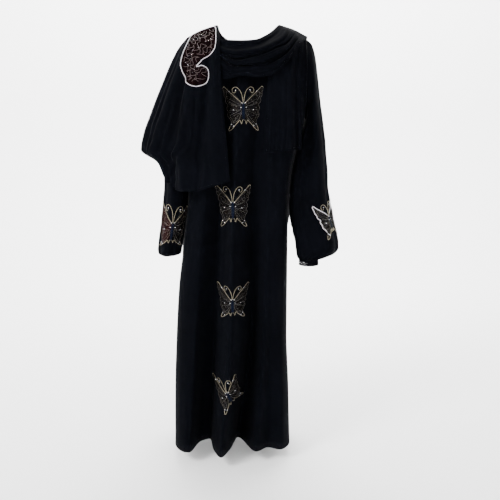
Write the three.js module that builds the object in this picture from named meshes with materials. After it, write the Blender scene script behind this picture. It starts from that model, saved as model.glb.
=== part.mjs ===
// An abaya: a full-length over-dress of black crepe, in the form it keeps while it is worn, with the
// embroidered shawl layer of the same cloth that is wound across the neck and over one arm.
// Millimetres, +Z up. The front faces -Y, so the wearer's right hand is at -X. The origin is at the
// centre of the neck opening, level with the shoulders, and the hem hangs at HEM_Z.
// Every piece is a cloth wall: a grid of outer points on a surface, and a second grid one wall
// thickness behind it.
import * as THREE from 'three';

// ---- driving dimensions ----

const WALL = 1.6; // cloth, with its folds' bulk
const SEAM = 0.3; // gap between two pieces that are sewn together
const HEM_Z = -1420;
const SHOULDER_X = 190; // armhole planes stand at this distance from the middle
const SHOULDER_Z = -28; // shoulder tip
const SHOULDER_SLOPE = 0.42;
const SHOULDER_ARCH = 4; // rise of the shoulder line over its straight chord
const YOKE_ARCH = 5; // the same rise in the shawl layer that lies on it
const NECK_X = 95; // side neck point
const NECK_DROP_FRONT = 88;
const NECK_DROP_BACK = 52;
const ARMHOLE_Z = -280; // underarm
const ARMHOLE_HALF_DEPTH = 66;
const ARMHOLE_EASE = 0.45; // share of the folds that the armhole's own depth takes over beside it
const NECK_SPREAD = 0.7; // half angle that the upper gown's columns are spread over
const SHOULDER_ROUND = 110; // height over which the cloth rounds over from the shoulder line
const MOTIF_WALL = 0.9; // sheer applique with its cords
const MOTIF_LIFT = 0.8;
const PAISLEY_LIFT = 1.25;
const UPPER_ROWS_SHARE = 0.36; // share of the gown's rows that lie above the underarm
const PLATE_ROW_SHARE = 0.03; // least height of an applique's row, as a share of its height there

// Where the folds are measured: chest, hip, knee and hem.
const LEVELS = { chest: -300, hip: -600, knee: -950, hem: HEM_Z };

// Sides of the gown below the underarm, at the side seams. The skirt hangs a little to the right.
const SIDES = [
  { z: ARMHOLE_Z, right: -190, left: 190 },
  { z: -300, right: -189, left: 188 },
  { z: -340, right: -189, left: 176.5 },
  { z: -380, right: -190, left: 162 },
  { z: -430, right: -192, left: 150 },
  { z: -490, right: -196, left: 142 },
  { z: -560, right: -201, left: 138 },
  { z: -700, right: -219, left: 138 },
  { z: -850, right: -239, left: 138 },
  { z: -1010, right: -250, left: 138 },
  { z: -1210, right: -259, left: 146 },
  { z: HEM_Z, right: -263, left: 152 },
];

// How far the back stands out past each side seam, where it hangs behind a sleeve.
const BACK_FLANKS = [
  { z: -300, right: 0, left: 0 },
  { z: -330, right: 0, left: 6 },
  { z: -350, right: 0, left: 8 },
  { z: -420, right: 0, left: 13 },
  { z: -480, right: 2, left: 15 },
  { z: -540, right: 15, left: 16 },
  { z: -620, right: 18, left: 11 },
  { z: -680, right: 15, left: 0 },
  { z: -740, right: 9, left: 0 },
  { z: -820, right: 0, left: 0 },
];
const FLANK = { u: 0.9, width: 0.1 };

// Hanging folds of the gown. Each line runs down a ridge, a trough or a seam, and each level gives
// [u, depth] there: u runs from the right side seam (-1) to the left one (+1), and depth is how far
// the cloth stands forward, or back, of the plane of the seams.
const FRONT_FOLDS = [
  { name: 'side seam', chest: [-1, 0], hip: [-1, 4], knee: [-1, 10], hem: [-1, 20] },
  { name: 'flank', chest: [-0.8, 70], hip: [-0.82, 78], knee: [-0.84, 92], hem: [-0.86, 108] },
  { name: 'right ridge', chest: [-0.5, 112], hip: [-0.46, 124], knee: [-0.44, 142], hem: [-0.51, 164] },
  { name: 'right valley', chest: [-0.34, 108], hip: [-0.3, 102], knee: [-0.28, 94], hem: [-0.365, 84] },
  { name: 'right trough', chest: [-0.27, 104], hip: [-0.222, 92], knee: [-0.2, 80], hem: [-0.26, 68] },
  { name: 'right slope', chest: [-0.19, 118], hip: [-0.14, 118], knee: [-0.11, 124], hem: [-0.2, 146] },
  { name: 'centre ridge', chest: [-0.1, 130], hip: [-0.045, 150], knee: [-0.005, 172], hem: [-0.11, 200] },
  { name: 'left slope', chest: [0.01, 119], hip: [0.07, 121], knee: [0.1, 132], hem: [-0.025, 150] },
  { name: 'left trough', chest: [0.12, 102], hip: [0.205, 84], knee: [0.23, 72], hem: [0.06, 62] },
  { name: 'left ridge', chest: [0.33, 120], hip: [0.4, 126], knee: [0.4, 140], hem: [0.27, 158] },
  { name: 'left dip', chest: [0.45, 115], hip: [0.52, 119], knee: [0.5, 128], hem: [0.41, 130] },
  { name: 'outer ridge', chest: [0.6, 102], hip: [0.66, 108], knee: [0.64, 124], hem: [0.59, 142] },
  { name: 'flank', chest: [0.82, 64], hip: [0.84, 70], knee: [0.85, 86], hem: [0.86, 106] },
  { name: 'side seam', chest: [1, 0], hip: [1, 4], knee: [1, 10], hem: [1, 20] },
];
const BACK_FOLDS = [
  { name: 'side seam', chest: [-1, 0], hip: [-1, -4], knee: [-1, -10], hem: [-1, -20] },
  { name: 'flank', chest: [-0.82, 58], hip: [-0.83, 64], knee: [-0.84, 74], hem: [-0.86, 88] },
  { name: 'right ridge', chest: [-0.56, 94], hip: [-0.58, 106], knee: [-0.6, 126], hem: [-0.6, 146] },
  { name: 'right trough', chest: [-0.38, 92], hip: [-0.39, 88], knee: [-0.4, 84], hem: [-0.4, 78] },
  { name: 'centre ridge', chest: [-0.15, 106], hip: [-0.16, 116], knee: [-0.14, 136], hem: [-0.17, 160] },
  { name: 'centre trough', chest: [0.03, 101], hip: [0.04, 94], knee: [0.06, 88], hem: [0.03, 82] },
  { name: 'left ridge', chest: [0.26, 105], hip: [0.28, 114], knee: [0.28, 130], hem: [0.25, 150] },
  { name: 'left trough', chest: [0.45, 90], hip: [0.46, 88], knee: [0.45, 84], hem: [0.43, 80] },
  { name: 'outer ridge', chest: [0.64, 82], hip: [0.66, 92], knee: [0.66, 108], hem: [0.64, 128] },
  { name: 'flank', chest: [0.84, 48], hip: [0.85, 56], knee: [0.86, 68], hem: [0.87, 84] },
  { name: 'side seam', chest: [1, 0], hip: [1, -4], knee: [1, -10], hem: [1, -20] },
];

// How full the gown stands at heights above the chest, as a share of its depth there.
const UPPER_FULLNESS = [
  { z: -300, share: 1 },
  { z: -200, share: 0.96 },
  { z: -120, share: 0.86 },
  { z: -60, share: 0.72 },
  { z: 20, share: 0.58 },
];

// Rings of each sleeve, from the armhole down. Each ring joins an outer point to an inner point in
// the X-Z plane; mid is its middle in Y, and front and back are its half depths.
const SLEEVE_LEFT = [
  { outX: 190, outZ: -28, inX: 190, inZ: -280, mid: 0, front: 66, back: 66 },
  { outX: 209, outZ: -44, inX: 193, inZ: -290, mid: 0, front: 65, back: 64 },
  { outX: 222, outZ: -82, inX: 191, inZ: -304, mid: -2, front: 63, back: 61 },
  { outX: 231, outZ: -144, inX: 182, inZ: -334, mid: -5, front: 61, back: 58 },
  { outX: 242, outZ: -230, inX: 168, inZ: -376, mid: -8, front: 60, back: 55 },
  { outX: 256, outZ: -322, inX: 156, inZ: -424, mid: -12, front: 60, back: 52 },
  { outX: 266, outZ: -408, inX: 146, inZ: -480, mid: -16, front: 60, back: 50 },
  { outX: 276, outZ: -531, inX: 141.5, inZ: -560, mid: -22, front: 60, back: 50 },
  { outX: 286, outZ: -592, inX: 144, inZ: -612, mid: -26, front: 61, back: 51 },
  { outX: 297, outZ: -642, inX: 153, inZ: -652, mid: -30, front: 62, back: 53 },
  { outX: 310, outZ: -692, inX: 164, inZ: -696, mid: -34, front: 62, back: 54 },
  { outX: 311, outZ: -718, inX: 167, inZ: -722, mid: -36, front: 58, back: 52 },
  { outX: 297, outZ: -738, inX: 169, inZ: -740, mid: -36, front: 49, back: 45 },
  { outX: 270, outZ: -750, inX: 172, inZ: -751, mid: -36, front: 40, back: 37 },
  { outX: 245, outZ: -757, inX: 176, inZ: -757, mid: -36, front: 33, back: 31 },
];
const SLEEVE_RIGHT = [
  { outX: -190, outZ: -28, inX: -190, inZ: -280, mid: 0, front: 66, back: 66 },
  { outX: -207, outZ: -46, inX: -193, inZ: -290, mid: 0, front: 65, back: 64 },
  { outX: -223, outZ: -82, inX: -195, inZ: -306, mid: -2, front: 63, back: 61 },
  { outX: -243, outZ: -142, inX: -196, inZ: -332, mid: -4, front: 61, back: 59 },
  { outX: -266, outZ: -222, inX: -197, inZ: -366, mid: -6, front: 60, back: 57 },
  { outX: -282, outZ: -306, inX: -196.5, inZ: -408, mid: -10, front: 60, back: 55 },
  { outX: -284, outZ: -385, inX: -196.6, inZ: -452, mid: -14, front: 58, back: 53 },
  { outX: -282, outZ: -458, inX: -199.6, inZ: -502, mid: -20, front: 56, back: 50 },
  { outX: -286, outZ: -540, inX: -203.4, inZ: -560, mid: -26, front: 55, back: 48 },
  { outX: -295, outZ: -620, inX: -211.5, inZ: -630, mid: -32, front: 55, back: 48 },
  { outX: -305, outZ: -690, inX: -220.5, inZ: -692, mid: -38, front: 55, back: 48 },
  { outX: -309, outZ: -720, inX: -224.5, inZ: -720, mid: -40, front: 52, back: 46 },
  { outX: -306, outZ: -736, inX: -229, inZ: -736, mid: -40, front: 47, back: 42 },
  { outX: -296, outZ: -740, inX: -241, inZ: -740, mid: -40, front: 38, back: 34 },
  { outX: -291, outZ: -730, inX: -246, inZ: -730, mid: -40, front: 29, back: 27 },
];

// Folds that run down each sleeve; turn is measured from the outer point through the front.
const SLEEVE_FOLDS_LEFT = [
  { name: 'inner ridge', turn: 0.42, width: 0.07, top: 3, elbow: 9, low: 3 },
  { name: 'front trough', turn: 0.29, width: 0.09, top: -8, elbow: -17, low: -6 },
  { name: 'outer ridge', turn: 0.17, width: 0.08, top: 4, elbow: 8, low: 6 },
  { name: 'back trough', turn: 0.68, width: 0.1, top: -4, elbow: -12, low: -6 },
  { name: 'back ridge', turn: 0.83, width: 0.09, top: 3, elbow: 7, low: 5 },
];
const SLEEVE_FOLDS_RIGHT = [
  { name: 'inner trough', turn: 0.4, width: 0.07, top: -3, elbow: -8, low: -7 },
  { name: 'front ridge', turn: 0.22, width: 0.1, top: 2, elbow: 6, low: 6 },
  { name: 'back trough', turn: 0.66, width: 0.1, top: -4, elbow: -10, low: -7 },
  { name: 'back ridge', turn: 0.82, width: 0.09, top: 3, elbow: 6, low: 5 },
];
const GATHERS = 10; // waves where a sleeve is drawn in to its cuff
const GATHER_DEPTH = 2.2;
const CUFF_GATHER_DEPTH = 0.9;

// Each cuff is a short gathered tube under the end of its sleeve.
const CUFFS = [
  { name: 'cuff_left', x: 210.8, y: -37, halfX: 33.4, halfY: 31, top: -757.9, bottom: -778 },
  { name: 'cuff_right', x: -268.8, y: -41, halfX: 21.6, halfY: 26.4, top: -724, bottom: -738 },
];

// Sections of the broad shawl end, from the shoulder line down. edge is its free edge on the chest,
// out its outermost point over the arm, and back its rear edge behind the arm.
const BROAD_END = [
  { level: 0, edge: [-99, 3, 15], out: [-199, 3, -24.5], back: [-195, 12, -25.5] },
  { level: 1, edge: [-88, -86, -32], out: [-226, 0, -60], back: [-206, 56, -62] },
  { level: 2, edge: [-84, -130, -98], out: [-252, -2, -112], back: [-218, 80, -112] },
  { level: 3, edge: [-82, -144, -170], out: [-284, -4, -180], back: [-232, 90, -175] },
  { level: 4, edge: [-76, -145, -255], out: [-319, -8, -262], back: [-248, 94, -255] },
  { level: 5, edge: [-68, -148, -335], out: [-347, -12, -335], back: [-262, 97, -330] },
  { level: 5.7, edge: [-63, -152, -395], out: [-356, -14, -384], back: [-270, 98, -384] },
  { level: 6.2, edge: [-60, -156, -436], out: [-314, -16, -420], back: [-273, 98, -420] },
  { level: 7, edge: [-56, -162, -500], out: [-284, -20, -492], back: [-275, 98, -480] },
  { level: 7.5, edge: [-54, -164, -540], out: [-280, -22, -532], back: [-275, 98, -520] },
];
const BROAD_END_TURN = 0.7; // share of its width in front of the arm
const CHEST_ROUNDNESS = 0.75; // below 1, the end lies flat on the chest before it turns to the arm
// Where the hem of the broad end lies: it drops in front of the arm and rises over it.
const BROAD_END_HEM = [
  { u: 0, level: 6.72 },
  { u: 0.12, level: 6.96 },
  { u: 0.25, level: 7.18 },
  { u: 0.36, level: 7.2 },
  { u: 0.46, level: 7.08 },
  { u: 0.52, level: 6.9 },
  { u: 0.57, level: 6.3 },
  { u: 0.62, level: 5.85 },
  { u: 0.7, level: 5.72 },
  { u: 1, level: 5.66 },
];
// Folds of the broad end: where each line crosses the sections, and how far it stands out there.
const BROAD_FOLD_LEVELS = { lines: [1, 4, 7], rises: [0.4, 2, 4, 7] };
const BROAD_END_FOLDS = [
  { name: 'chest ridge', width: 0.05, lines: [0.035, 0.05, 0.06], rises: [2, 5, 4] },
  { name: 'chest trough', width: 0.055, lines: [0.09, 0.12, 0.14], rises: [-4, -15, -12] },
  { name: 'arm ridge', width: 0.07, lines: [0.18, 0.21, 0.24], rises: [2, 9, 10] },
  { name: 'arm trough', width: 0.05, lines: [0.28, 0.29, 0.36], rises: [-3, -13, -14] },
  { name: 'elbow ridge', width: 0.06, lines: [0.37, 0.39, 0.47], rises: [1, 7, 8] },
  { name: 'outer trough', width: 0.05, lines: [0.5, 0.52, 0.55], rises: [-1, -6, -5] },
  { name: 'back trough', width: 0.07, lines: [0.82, 0.83, 0.84], rises: [-2, -9, -8] },
];

// Sections of the stretch across the front of the neck, from under the broad end to the left shoulder:
// its upper edge, its middle and its lower edge.
const COWL = [
  { u: 0, top: [-104, -72, -33], mid: [-104, -108, -88], low: [-100, -128, -158] },
  { u: 0.18, top: [-64, -100, -41], mid: [-62, -130, -92], low: [-60, -142, -160] },
  { u: 0.36, top: [-18, -108, -43], mid: [-16, -138, -92], low: [-14, -146, -150] },
  { u: 0.52, top: [24, -104, -40], mid: [30, -136, -90], low: [32, -146, -156] },
  { u: 0.66, top: [56, -82, -26], mid: [74, -128, -78], low: [78, -140, -146] },
  { u: 0.8, top: [80, -52, -8], mid: [112, -104, -50], low: [124, -124, -108] },
  { u: 0.92, top: [96, -22, 9], mid: [138, -56, -12], low: [168, -76, -50] },
  { u: 1, top: [103, 4, 17], mid: [149, 4, 2.5], low: [197, 4, -21] },
];
const COWL_FOLDS = [
  { name: 'rim', at: 0.06, width: 0.1, rise: 3 },
  { name: 'first fold', at: 0.28, width: 0.13, rise: 7 },
  { name: 'second fold', at: 0.57, width: 0.12, rise: 8 },
  { name: 'third fold', at: 0.85, width: 0.14, rise: 7 },
];

// Sections of the narrow end that hangs from the left shoulder: its two edges.
const NARROW_END = [
  { z: 0, right: [112, 2, 11], left: [184, 2, -20.8] },
  { z: -40, right: [94, -74, -36], left: [176, -62, -60] },
  { z: -90, right: [78, -108, -90], left: [168, -94, -104] },
  { z: -160, right: [65, -128, -160], left: [168, -108, -164] },
  { z: -260, right: [57, -136, -260], left: [171, -113, -262] },
  { z: -385, right: [52, -142, -388], left: [173, -116, -378] },
];
const NARROW_END_BELLY = 10;
const NARROW_END_FOLDS = [
  { name: 'outer trough', at: 0.86, width: 0.1, top: -2, low: -12 },
  { name: 'outer ridge', at: 0.7, width: 0.12, top: 2, low: 4 },
  { name: 'middle dip', at: 0.45, width: 0.2, top: -2, low: -4 },
];

// Sections of the stretch across the back, from the broad end's rear edge to the left shoulder.
const BACK_STRETCH = [
  { u: 0.18, top: [-150, 4, -4], mid: [-196, 110, -140], low: [-214, 128, -405] },
  { u: 0.32, top: [-99, 4.4, 15], mid: [-140, 124, -135], low: [-140, 143, -412] },
  { u: 0.41, top: [-88, 40, -22], mid: [-108, 128, -135], low: [-96, 148, -404] },
  { u: 0.5, top: [-62, 74, -40], mid: [-70, 131, -135], low: [-50, 149, -388] },
  { u: 0.65, top: [-2, 96, -40], mid: [6, 132, -130], low: [46, 142, -318] },
  { u: 0.8, top: [62, 74, -16], mid: [76, 120, -100], low: [122, 120, -214] },
  { u: 0.91, top: [92, 34, 8], mid: [126, 82, -46], low: [170, 84, -108] },
  { u: 1, top: [103, 4.6, 17], mid: [149, 4.6, 2.5], low: [197, 4.6, -21] },
];
const BACK_STRETCH_FOLDS = [
  { name: 'rim', at: 0.07, width: 0.1, rise: 3 },
  { name: 'first fold', at: 0.3, width: 0.13, rise: 7 },
  { name: 'second fold', at: 0.56, width: 0.14, rise: 8 },
  { name: 'third fold', at: 0.82, width: 0.13, rise: 6 },
];
const STRETCH_MIDDLE = 0.45; // where a section's middle point lies between its edges
const REAR_JOIN = 0.16; // share of the back stretch that turns into the broad end's rear edge

// Silhouette of a butterfly with swallow-tailed lower wings, in parts of its half width: x across,
// and the heights of its upper and lower outline there.
const BUTTERFLY = [
  { x: -1, top: 0.72, low: 0.3 },
  { x: -0.8, top: 0.86, low: -0.3 },
  { x: -0.6, top: 0.78, low: -0.86 },
  { x: -0.4, top: 0.66, low: -0.74 },
  { x: -0.2, top: 0.5, low: -0.6 },
  { x: 0, top: 0.42, low: -0.68 },
  { x: 0.2, top: 0.5, low: -0.6 },
  { x: 0.4, top: 0.66, low: -0.74 },
  { x: 0.6, top: 0.78, low: -0.86 },
  { x: 0.8, top: 0.86, low: -0.3 },
  { x: 1, top: 0.72, low: 0.3 },
];
const FRONT_BUTTERFLIES = [
  { name: 'butterfly_1', x: -13, z: -249, halfWidth: 62, halfHeight: 72, tilt: 0.02 },
  { name: 'butterfly_2', x: -47, z: -560, halfWidth: 54, halfHeight: 70, tilt: 0.02 },
  { name: 'butterfly_3', x: -50, z: -880, halfWidth: 51, halfHeight: 62, tilt: 0.0 },
  { name: 'butterfly_4', x: -65, z: -1196, halfWidth: 44, halfHeight: 60, tilt: 0.38 },
];

// Outline of the paisley on the broad end, across its sections: u across, and the levels of its
// upper and lower edge there.
const PAISLEY = [
  { u: 0.05, top: 0.08, low: 1.9 },
  { u: 0.085, top: 0.08, low: 2.68 },
  { u: 0.15, top: 0.08, low: 3.04 },
  { u: 0.22, top: 0.08, low: 3.0 },
  { u: 0.29, top: 0.12, low: 2.78 },
  { u: 0.35, top: 0.3, low: 2.45 },
  { u: 0.4, top: 0.7, low: 1.95 },
];

// Looks of the solids.
const CREPE = { color: 0x0c0c10, roughness: 0.92, metalness: 0 };
const SHEER = { color: 0x3a3832, roughness: 0.6, metalness: 0.1 };
const PAISLEY_CLOTH = { color: 0x2a1618, roughness: 0.55, metalness: 0.1 };

// ---- curves and tables ----

const lerp = (a, b, t) => a + (b - a) * t;
const smoothstep = (a, b, x) => {
  const t = THREE.MathUtils.clamp((x - a) / (b - a), 0, 1);
  return t * t * (3 - 2 * t);
};

// A smooth curve through points that never overshoots them, so a ridge or trough stays where it is.
function curve(xs, ys) {
  const n = xs.length;
  const slope = (i) => (ys[i + 1] - ys[i]) / (xs[i + 1] - xs[i]);
  const tangents = ys.map((_, i) => {
    if (i === 0) return slope(0);
    if (i === n - 1) return slope(n - 2);
    const before = slope(i - 1);
    const after = slope(i);
    return before * after <= 0 ? 0 : (2 * before * after) / (before + after);
  });
  return (x) => {
    let i = 0;
    while (i < n - 2 && x > xs[i + 1]) i += 1;
    const span = xs[i + 1] - xs[i];
    const t = THREE.MathUtils.clamp((x - xs[i]) / span, 0, 1);
    const rise = t * t * (3 - 2 * t);
    const bend = t * (1 - t) * span;
    return lerp(ys[i], ys[i + 1], rise) + bend * ((1 - t) * tangents[i] - t * tangents[i + 1]);
  };
}

// Curves through every named column of a table, read at one value of its key column. A column holds
// numbers or points [x, y, z].
function tableCurves(rows, key) {
  const sorted = [...rows].sort((a, b) => a[key] - b[key]);
  const keys = sorted.map((row) => row[key]);
  const names = Object.keys(rows[0]).filter((name) => name !== 'name' && name !== key);
  const through = (values) => {
    if (!Array.isArray(values[0])) return curve(keys, values);
    const axes = [0, 1, 2].map((axis) => curve(keys, values.map((value) => value[axis])));
    return (x) => new THREE.Vector3(...axes.map((axis) => axis(x)));
  };
  const curves = names.map((name) => [name, through(sorted.map((row) => row[name]))]);
  return (x) => Object.fromEntries(curves.map(([name, at]) => [name, at(x)]));
}

// A rounded rise of the given width about a line.
function bump(distance, width) {
  return Math.abs(distance) < width ? Math.cos((Math.PI / 2) * (distance / width)) ** 2 : 0;
}

// Even steps from one value to another.
const steps = (from, to, count) => Array.from({ length: count + 1 }, (_, i) => lerp(from, to, i / count));

// ---- cloth walls ----

// Unit normal of a surface, on the side that faces out.
function normalAt(surface, u, v, side) {
  const h = 1e-3;
  const du = surface(u + h, v).sub(surface(u - h, v));
  const dv = surface(u, v + h).sub(surface(u, v - h));
  return dv.cross(du).multiplyScalar(side).normalize();
}

// Outer points and normals of a surface. flatten(u, v) names the axes that a seam's edge face stays
// square to at that place.
function clothGrid(surface, us, vs, { side = 1, flatten = () => '' } = {}) {
  return us.map((u) => vs.map((v) => {
    const normal = normalAt(surface, u, v, side);
    for (const axis of flatten(u, v)) normal[axis] = 0;
    return { point: surface(u, v), normal: normal.normalize() };
  }));
}

// A closed wall on a grid: outer skin, inner skin and the edges between them. A looped grid closes on
// itself across, as a tube does. side is the one that the grid was made with.
function wallFromGrid(grid, { wall = WALL, lift = 0, looped = false, side = 1 } = {}) {
  const across = grid.length;
  const down = grid[0].length;
  const positions = [];
  for (const depth of [lift, lift - wall]) {
    for (const column of grid) {
      for (const { point, normal } of column) {
        positions.push(...point.clone().addScaledVector(normal, depth).toArray());
      }
    }
  }
  const faces = [];
  const outer = (i, j) => (i % across) * down + j;
  const inner = (i, j) => outer(i, j) + across * down;
  const quad = (a, b, c, d) => {
    if (side > 0) faces.push(a, b, c, a, c, d);
    else faces.push(a, c, b, a, d, c);
  };
  const lastColumn = looped ? across : across - 1;
  for (let i = 0; i < lastColumn; i += 1) {
    for (let j = 0; j < down - 1; j += 1) {
      quad(outer(i, j), outer(i, j + 1), outer(i + 1, j + 1), outer(i + 1, j));
      quad(inner(i, j), inner(i + 1, j), inner(i + 1, j + 1), inner(i, j + 1));
    }
    quad(outer(i, 0), outer(i + 1, 0), inner(i + 1, 0), inner(i, 0));
    quad(outer(i, down - 1), inner(i, down - 1), inner(i + 1, down - 1), outer(i + 1, down - 1));
  }
  if (!looped) {
    for (let j = 0; j < down - 1; j += 1) {
      quad(outer(0, j), inner(0, j), inner(0, j + 1), outer(0, j + 1));
      quad(outer(across - 1, j), outer(across - 1, j + 1), inner(across - 1, j + 1), inner(across - 1, j));
    }
  }
  const geometry = new THREE.BufferGeometry();
  geometry.setAttribute('position', new THREE.Float32BufferAttribute(positions, 3));
  geometry.setIndex(faces);
  geometry.computeVertexNormals();
  return geometry;
}

function piece(name, geometry, look) {
  const mesh = new THREE.Mesh(geometry, new THREE.MeshStandardMaterial({ ...look, name }));
  mesh.name = name;
  return mesh;
}

// ---- gown ----

// Height of the shoulder line; it runs on over the neck opening, where it only steers the rounding.
function shoulderZ(x) {
  const inwards = SHOULDER_X - Math.abs(x);
  const arch = Math.sin(Math.PI * THREE.MathUtils.clamp(inwards / (SHOULDER_X - NECK_X), 0, 1));
  return SHOULDER_Z + SHOULDER_SLOPE * inwards + SHOULDER_ARCH * arch;
}

// How far the cloth has rounded over from the shoulder line, 0 on the line and 1 below the rounding.
function rounding(x, z) {
  const below = THREE.MathUtils.clamp((shoulderZ(x) - z) / SHOULDER_ROUND, 0, 1);
  return Math.sqrt(1 - (1 - below) ** 2);
}

// Half depth of the armhole at a height, 0 at the shoulder tip and below the underarm.
function armholeDepth(z) {
  const middle = (SHOULDER_Z + ARMHOLE_Z) / 2;
  const share = (z - middle) / (SHOULDER_Z - middle);
  return Math.abs(share) < 1 ? ARMHOLE_HALF_DEPTH * Math.sqrt(1 - share * share) : 0;
}

const sidesAt = tableCurves(SIDES, 'z');
const fullnessAt = tableCurves(UPPER_FULLNESS, 'z');
const flanksAt = tableCurves(BACK_FLANKS, 'z');

// A folded panel's columns follow its folds. For a column c, named by its u at the chest, this gives
// u and the depth at a height.
function foldLines(folds) {
  const names = Object.keys(LEVELS).reverse();
  const heights = names.map((name) => LEVELS[name]);
  const column = (fold, i) => curve(heights, names.map((name) => fold[name][i]));
  const lines = folds.map((fold) => ({ c: fold.chest[0], u: column(fold, 0), depth: column(fold, 1) }));
  const columns = lines.map((line) => line.c);
  return (c, z) => ({
    u: curve(columns, lines.map((line) => line.u(z)))(c),
    depth: curve(columns, lines.map((line) => line.depth(z)))(c),
  });
}

// The gown's outer surface; facing is -1 for the front and +1 for the back.
function gownPanel(folds, facing, neckDrop) {
  const foldAt = foldLines(folds);
  const spread = (z) => lerp(Math.PI / 2, NECK_SPREAD, smoothstep(ARMHOLE_Z, SHOULDER_Z - 40, z));
  const xAt = (u, z) => {
    const { right, left } = sidesAt(z);
    const half = (left - right) / 2;
    return (left + right) / 2 + (half * Math.sin(u * spread(z))) / Math.sin(spread(z));
  };
  const topZ = (c) => {
    const x = Math.abs(xAt(c, 0));
    if (x >= NECK_X) return shoulderZ(x);
    return shoulderZ(NECK_X) - neckDrop * Math.sqrt(1 - (x / NECK_X) ** 2);
  };
  const at = (c, z) => {
    const { u, depth: foldDepth } = foldAt(c, Math.min(z, LEVELS.chest));
    const flank = facing > 0 ? flanksAt(z)[u < 0 ? 'right' : 'left'] : 0;
    const x = xAt(u, z) + Math.sign(u) * flank * bump(Math.abs(u) - FLANK.u, FLANK.width);
    const share = z > LEVELS.chest ? fullnessAt(z).share : 1;
    const sideways = Math.abs(u) ** 3;
    const armhole = armholeDepth(z);
    const depth = foldDepth * share * (1 - ARMHOLE_EASE * sideways * (armhole / ARMHOLE_HALF_DEPTH))
      + armhole * sideways;
    return new THREE.Vector3(x, facing * (depth * rounding(x, z) + SEAM / 2), z);
  };
  const neckC = Math.asin((NECK_X / SHOULDER_X) * Math.sin(spread(0))) / spread(0);
  // The column that passes a place on the panel.
  const columnAt = (x, z) => {
    let low = -1;
    let high = 1;
    for (let i = 0; i < 40; i += 1) {
      const middle = (low + high) / 2;
      if (at(middle, z).x < x) low = middle;
      else high = middle;
    }
    return low;
  };
  const surface = (c, v) => {
    const clamped = THREE.MathUtils.clamp(c, -1, 1);
    return at(clamped, lerp(topZ(clamped), HEM_Z, v));
  };
  return { surface, neckC, topZ, columnAt };
}

// Rows of a gown panel, closer together at the shoulders, with one at the underarm.
function gownRows(count) {
  const underarm = (SHOULDER_Z - ARMHOLE_Z) / (SHOULDER_Z - HEM_Z);
  const upper = Math.round(count * UPPER_ROWS_SHARE);
  return [...steps(0, underarm, upper), ...steps(underarm, 1, count - upper).slice(1)];
}

function gownColumns(neckC, shoulderCount, neckCount) {
  const shoulder = steps(neckC, 1, shoulderCount);
  const neck = steps(-neckC, neckC, neckCount);
  return [...shoulder.map((c) => -c).reverse(), ...neck.slice(1, -1), ...shoulder];
}

// Seam faces stay square to X along the armholes and to Y along the shoulders and side seams.
function gownSeamAxes(c, v) {
  const atShoulder = v === 0 ? 'y' : '';
  if (Math.abs(c) < 0.999) return atShoulder;
  const inArmhole = lerp(SHOULDER_Z, HEM_Z, v) > ARMHOLE_Z - 1;
  return inArmhole ? `x${atShoulder}` : 'y';
}

const gownFront = gownPanel(FRONT_FOLDS, -1, NECK_DROP_FRONT);
const gownBack = gownPanel(BACK_FOLDS, 1, NECK_DROP_BACK);
const frontColumns = gownColumns(gownFront.neckC, 12, 24);
const frontRows = gownRows(13);
const frontGrid = clothGrid(gownFront.surface, frontColumns, frontRows, { flatten: gownSeamAxes });
const backColumns = gownColumns(gownBack.neckC, 9, 15);
const backGrid = clothGrid(gownBack.surface, backColumns, gownRows(11), { side: -1, flatten: gownSeamAxes });

// ---- sleeves and cuffs ----

// A sleeve's outer surface: u is the turn from the outer point through the front, v runs from the
// armhole to the cuff. The first ring is the armhole itself.
function sleeve(rings, folds) {
  const ringAt = tableCurves(rings.map((ring, i) => ({ ...ring, v: i / (rings.length - 1) })), 'v');
  const sign = Math.sign(rings[0].outX);
  const foldRise = (turn, v) => folds.reduce((sum, fold) => {
    const away = turn - fold.turn - Math.round(turn - fold.turn);
    const rise = curve([0.06, 0.2, 0.45, 0.84, 0.96], [0, fold.top, fold.elbow, fold.low, 0])(v);
    return sum + rise * bump(away, fold.width);
  }, 0);
  return (u, v) => {
    const ring = ringAt(v);
    const angle = 2 * Math.PI * u;
    const along = (1 + Math.cos(angle)) / 2;
    const fromTop = ((1 - along) * (SHOULDER_Z - ARMHOLE_Z)) / SHOULDER_ROUND;
    const shoulder = Math.sqrt(1 - (1 - Math.min(fromTop, 1)) ** 2);
    const flat = lerp(shoulder, 1, smoothstep(0, 0.3, v));
    const gather = GATHER_DEPTH * smoothstep(0.86, 1, v) * Math.cos(GATHERS * angle);
    const half = angle % (2 * Math.PI) < Math.PI ? ring.front : ring.back;
    const rise = foldRise(u, v) + gather;
    const reach = 1 + rise / half;
    const wide = 1 + (gather + 0.4 * foldRise(u, v)) / 60;
    const middleX = (ring.outX + ring.inX) / 2;
    return new THREE.Vector3(
      middleX + (ring.outX - ring.inX) * (along - 0.5) * wide + sign * SEAM,
      ring.mid - (half * reach * flat * Math.sin(angle) + (SEAM / 2) * Math.sign(Math.sin(angle))),
      lerp(ring.inZ, ring.outZ, 0.5 + (along - 0.5) * wide),
    );
  };
}

const SLEEVE_COLUMNS = 30;
const sleeveColumns = steps(0, 1, SLEEVE_COLUMNS).slice(0, -1);
const sleeveRows = (rings) => steps(0, 1, rings.length - 1);
const armholeAxis = (u, v) => (v === 0 ? 'x' : '');

function sleeveGrid(rings, folds) {
  const side = -Math.sign(rings[0].outX);
  return clothGrid(sleeve(rings, folds), sleeveColumns, sleeveRows(rings), { side, flatten: armholeAxis });
}

const sleeveLeftGrid = sleeveGrid(SLEEVE_LEFT, SLEEVE_FOLDS_LEFT);
const sleeveRightGrid = sleeveGrid(SLEEVE_RIGHT, SLEEVE_FOLDS_RIGHT);

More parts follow.
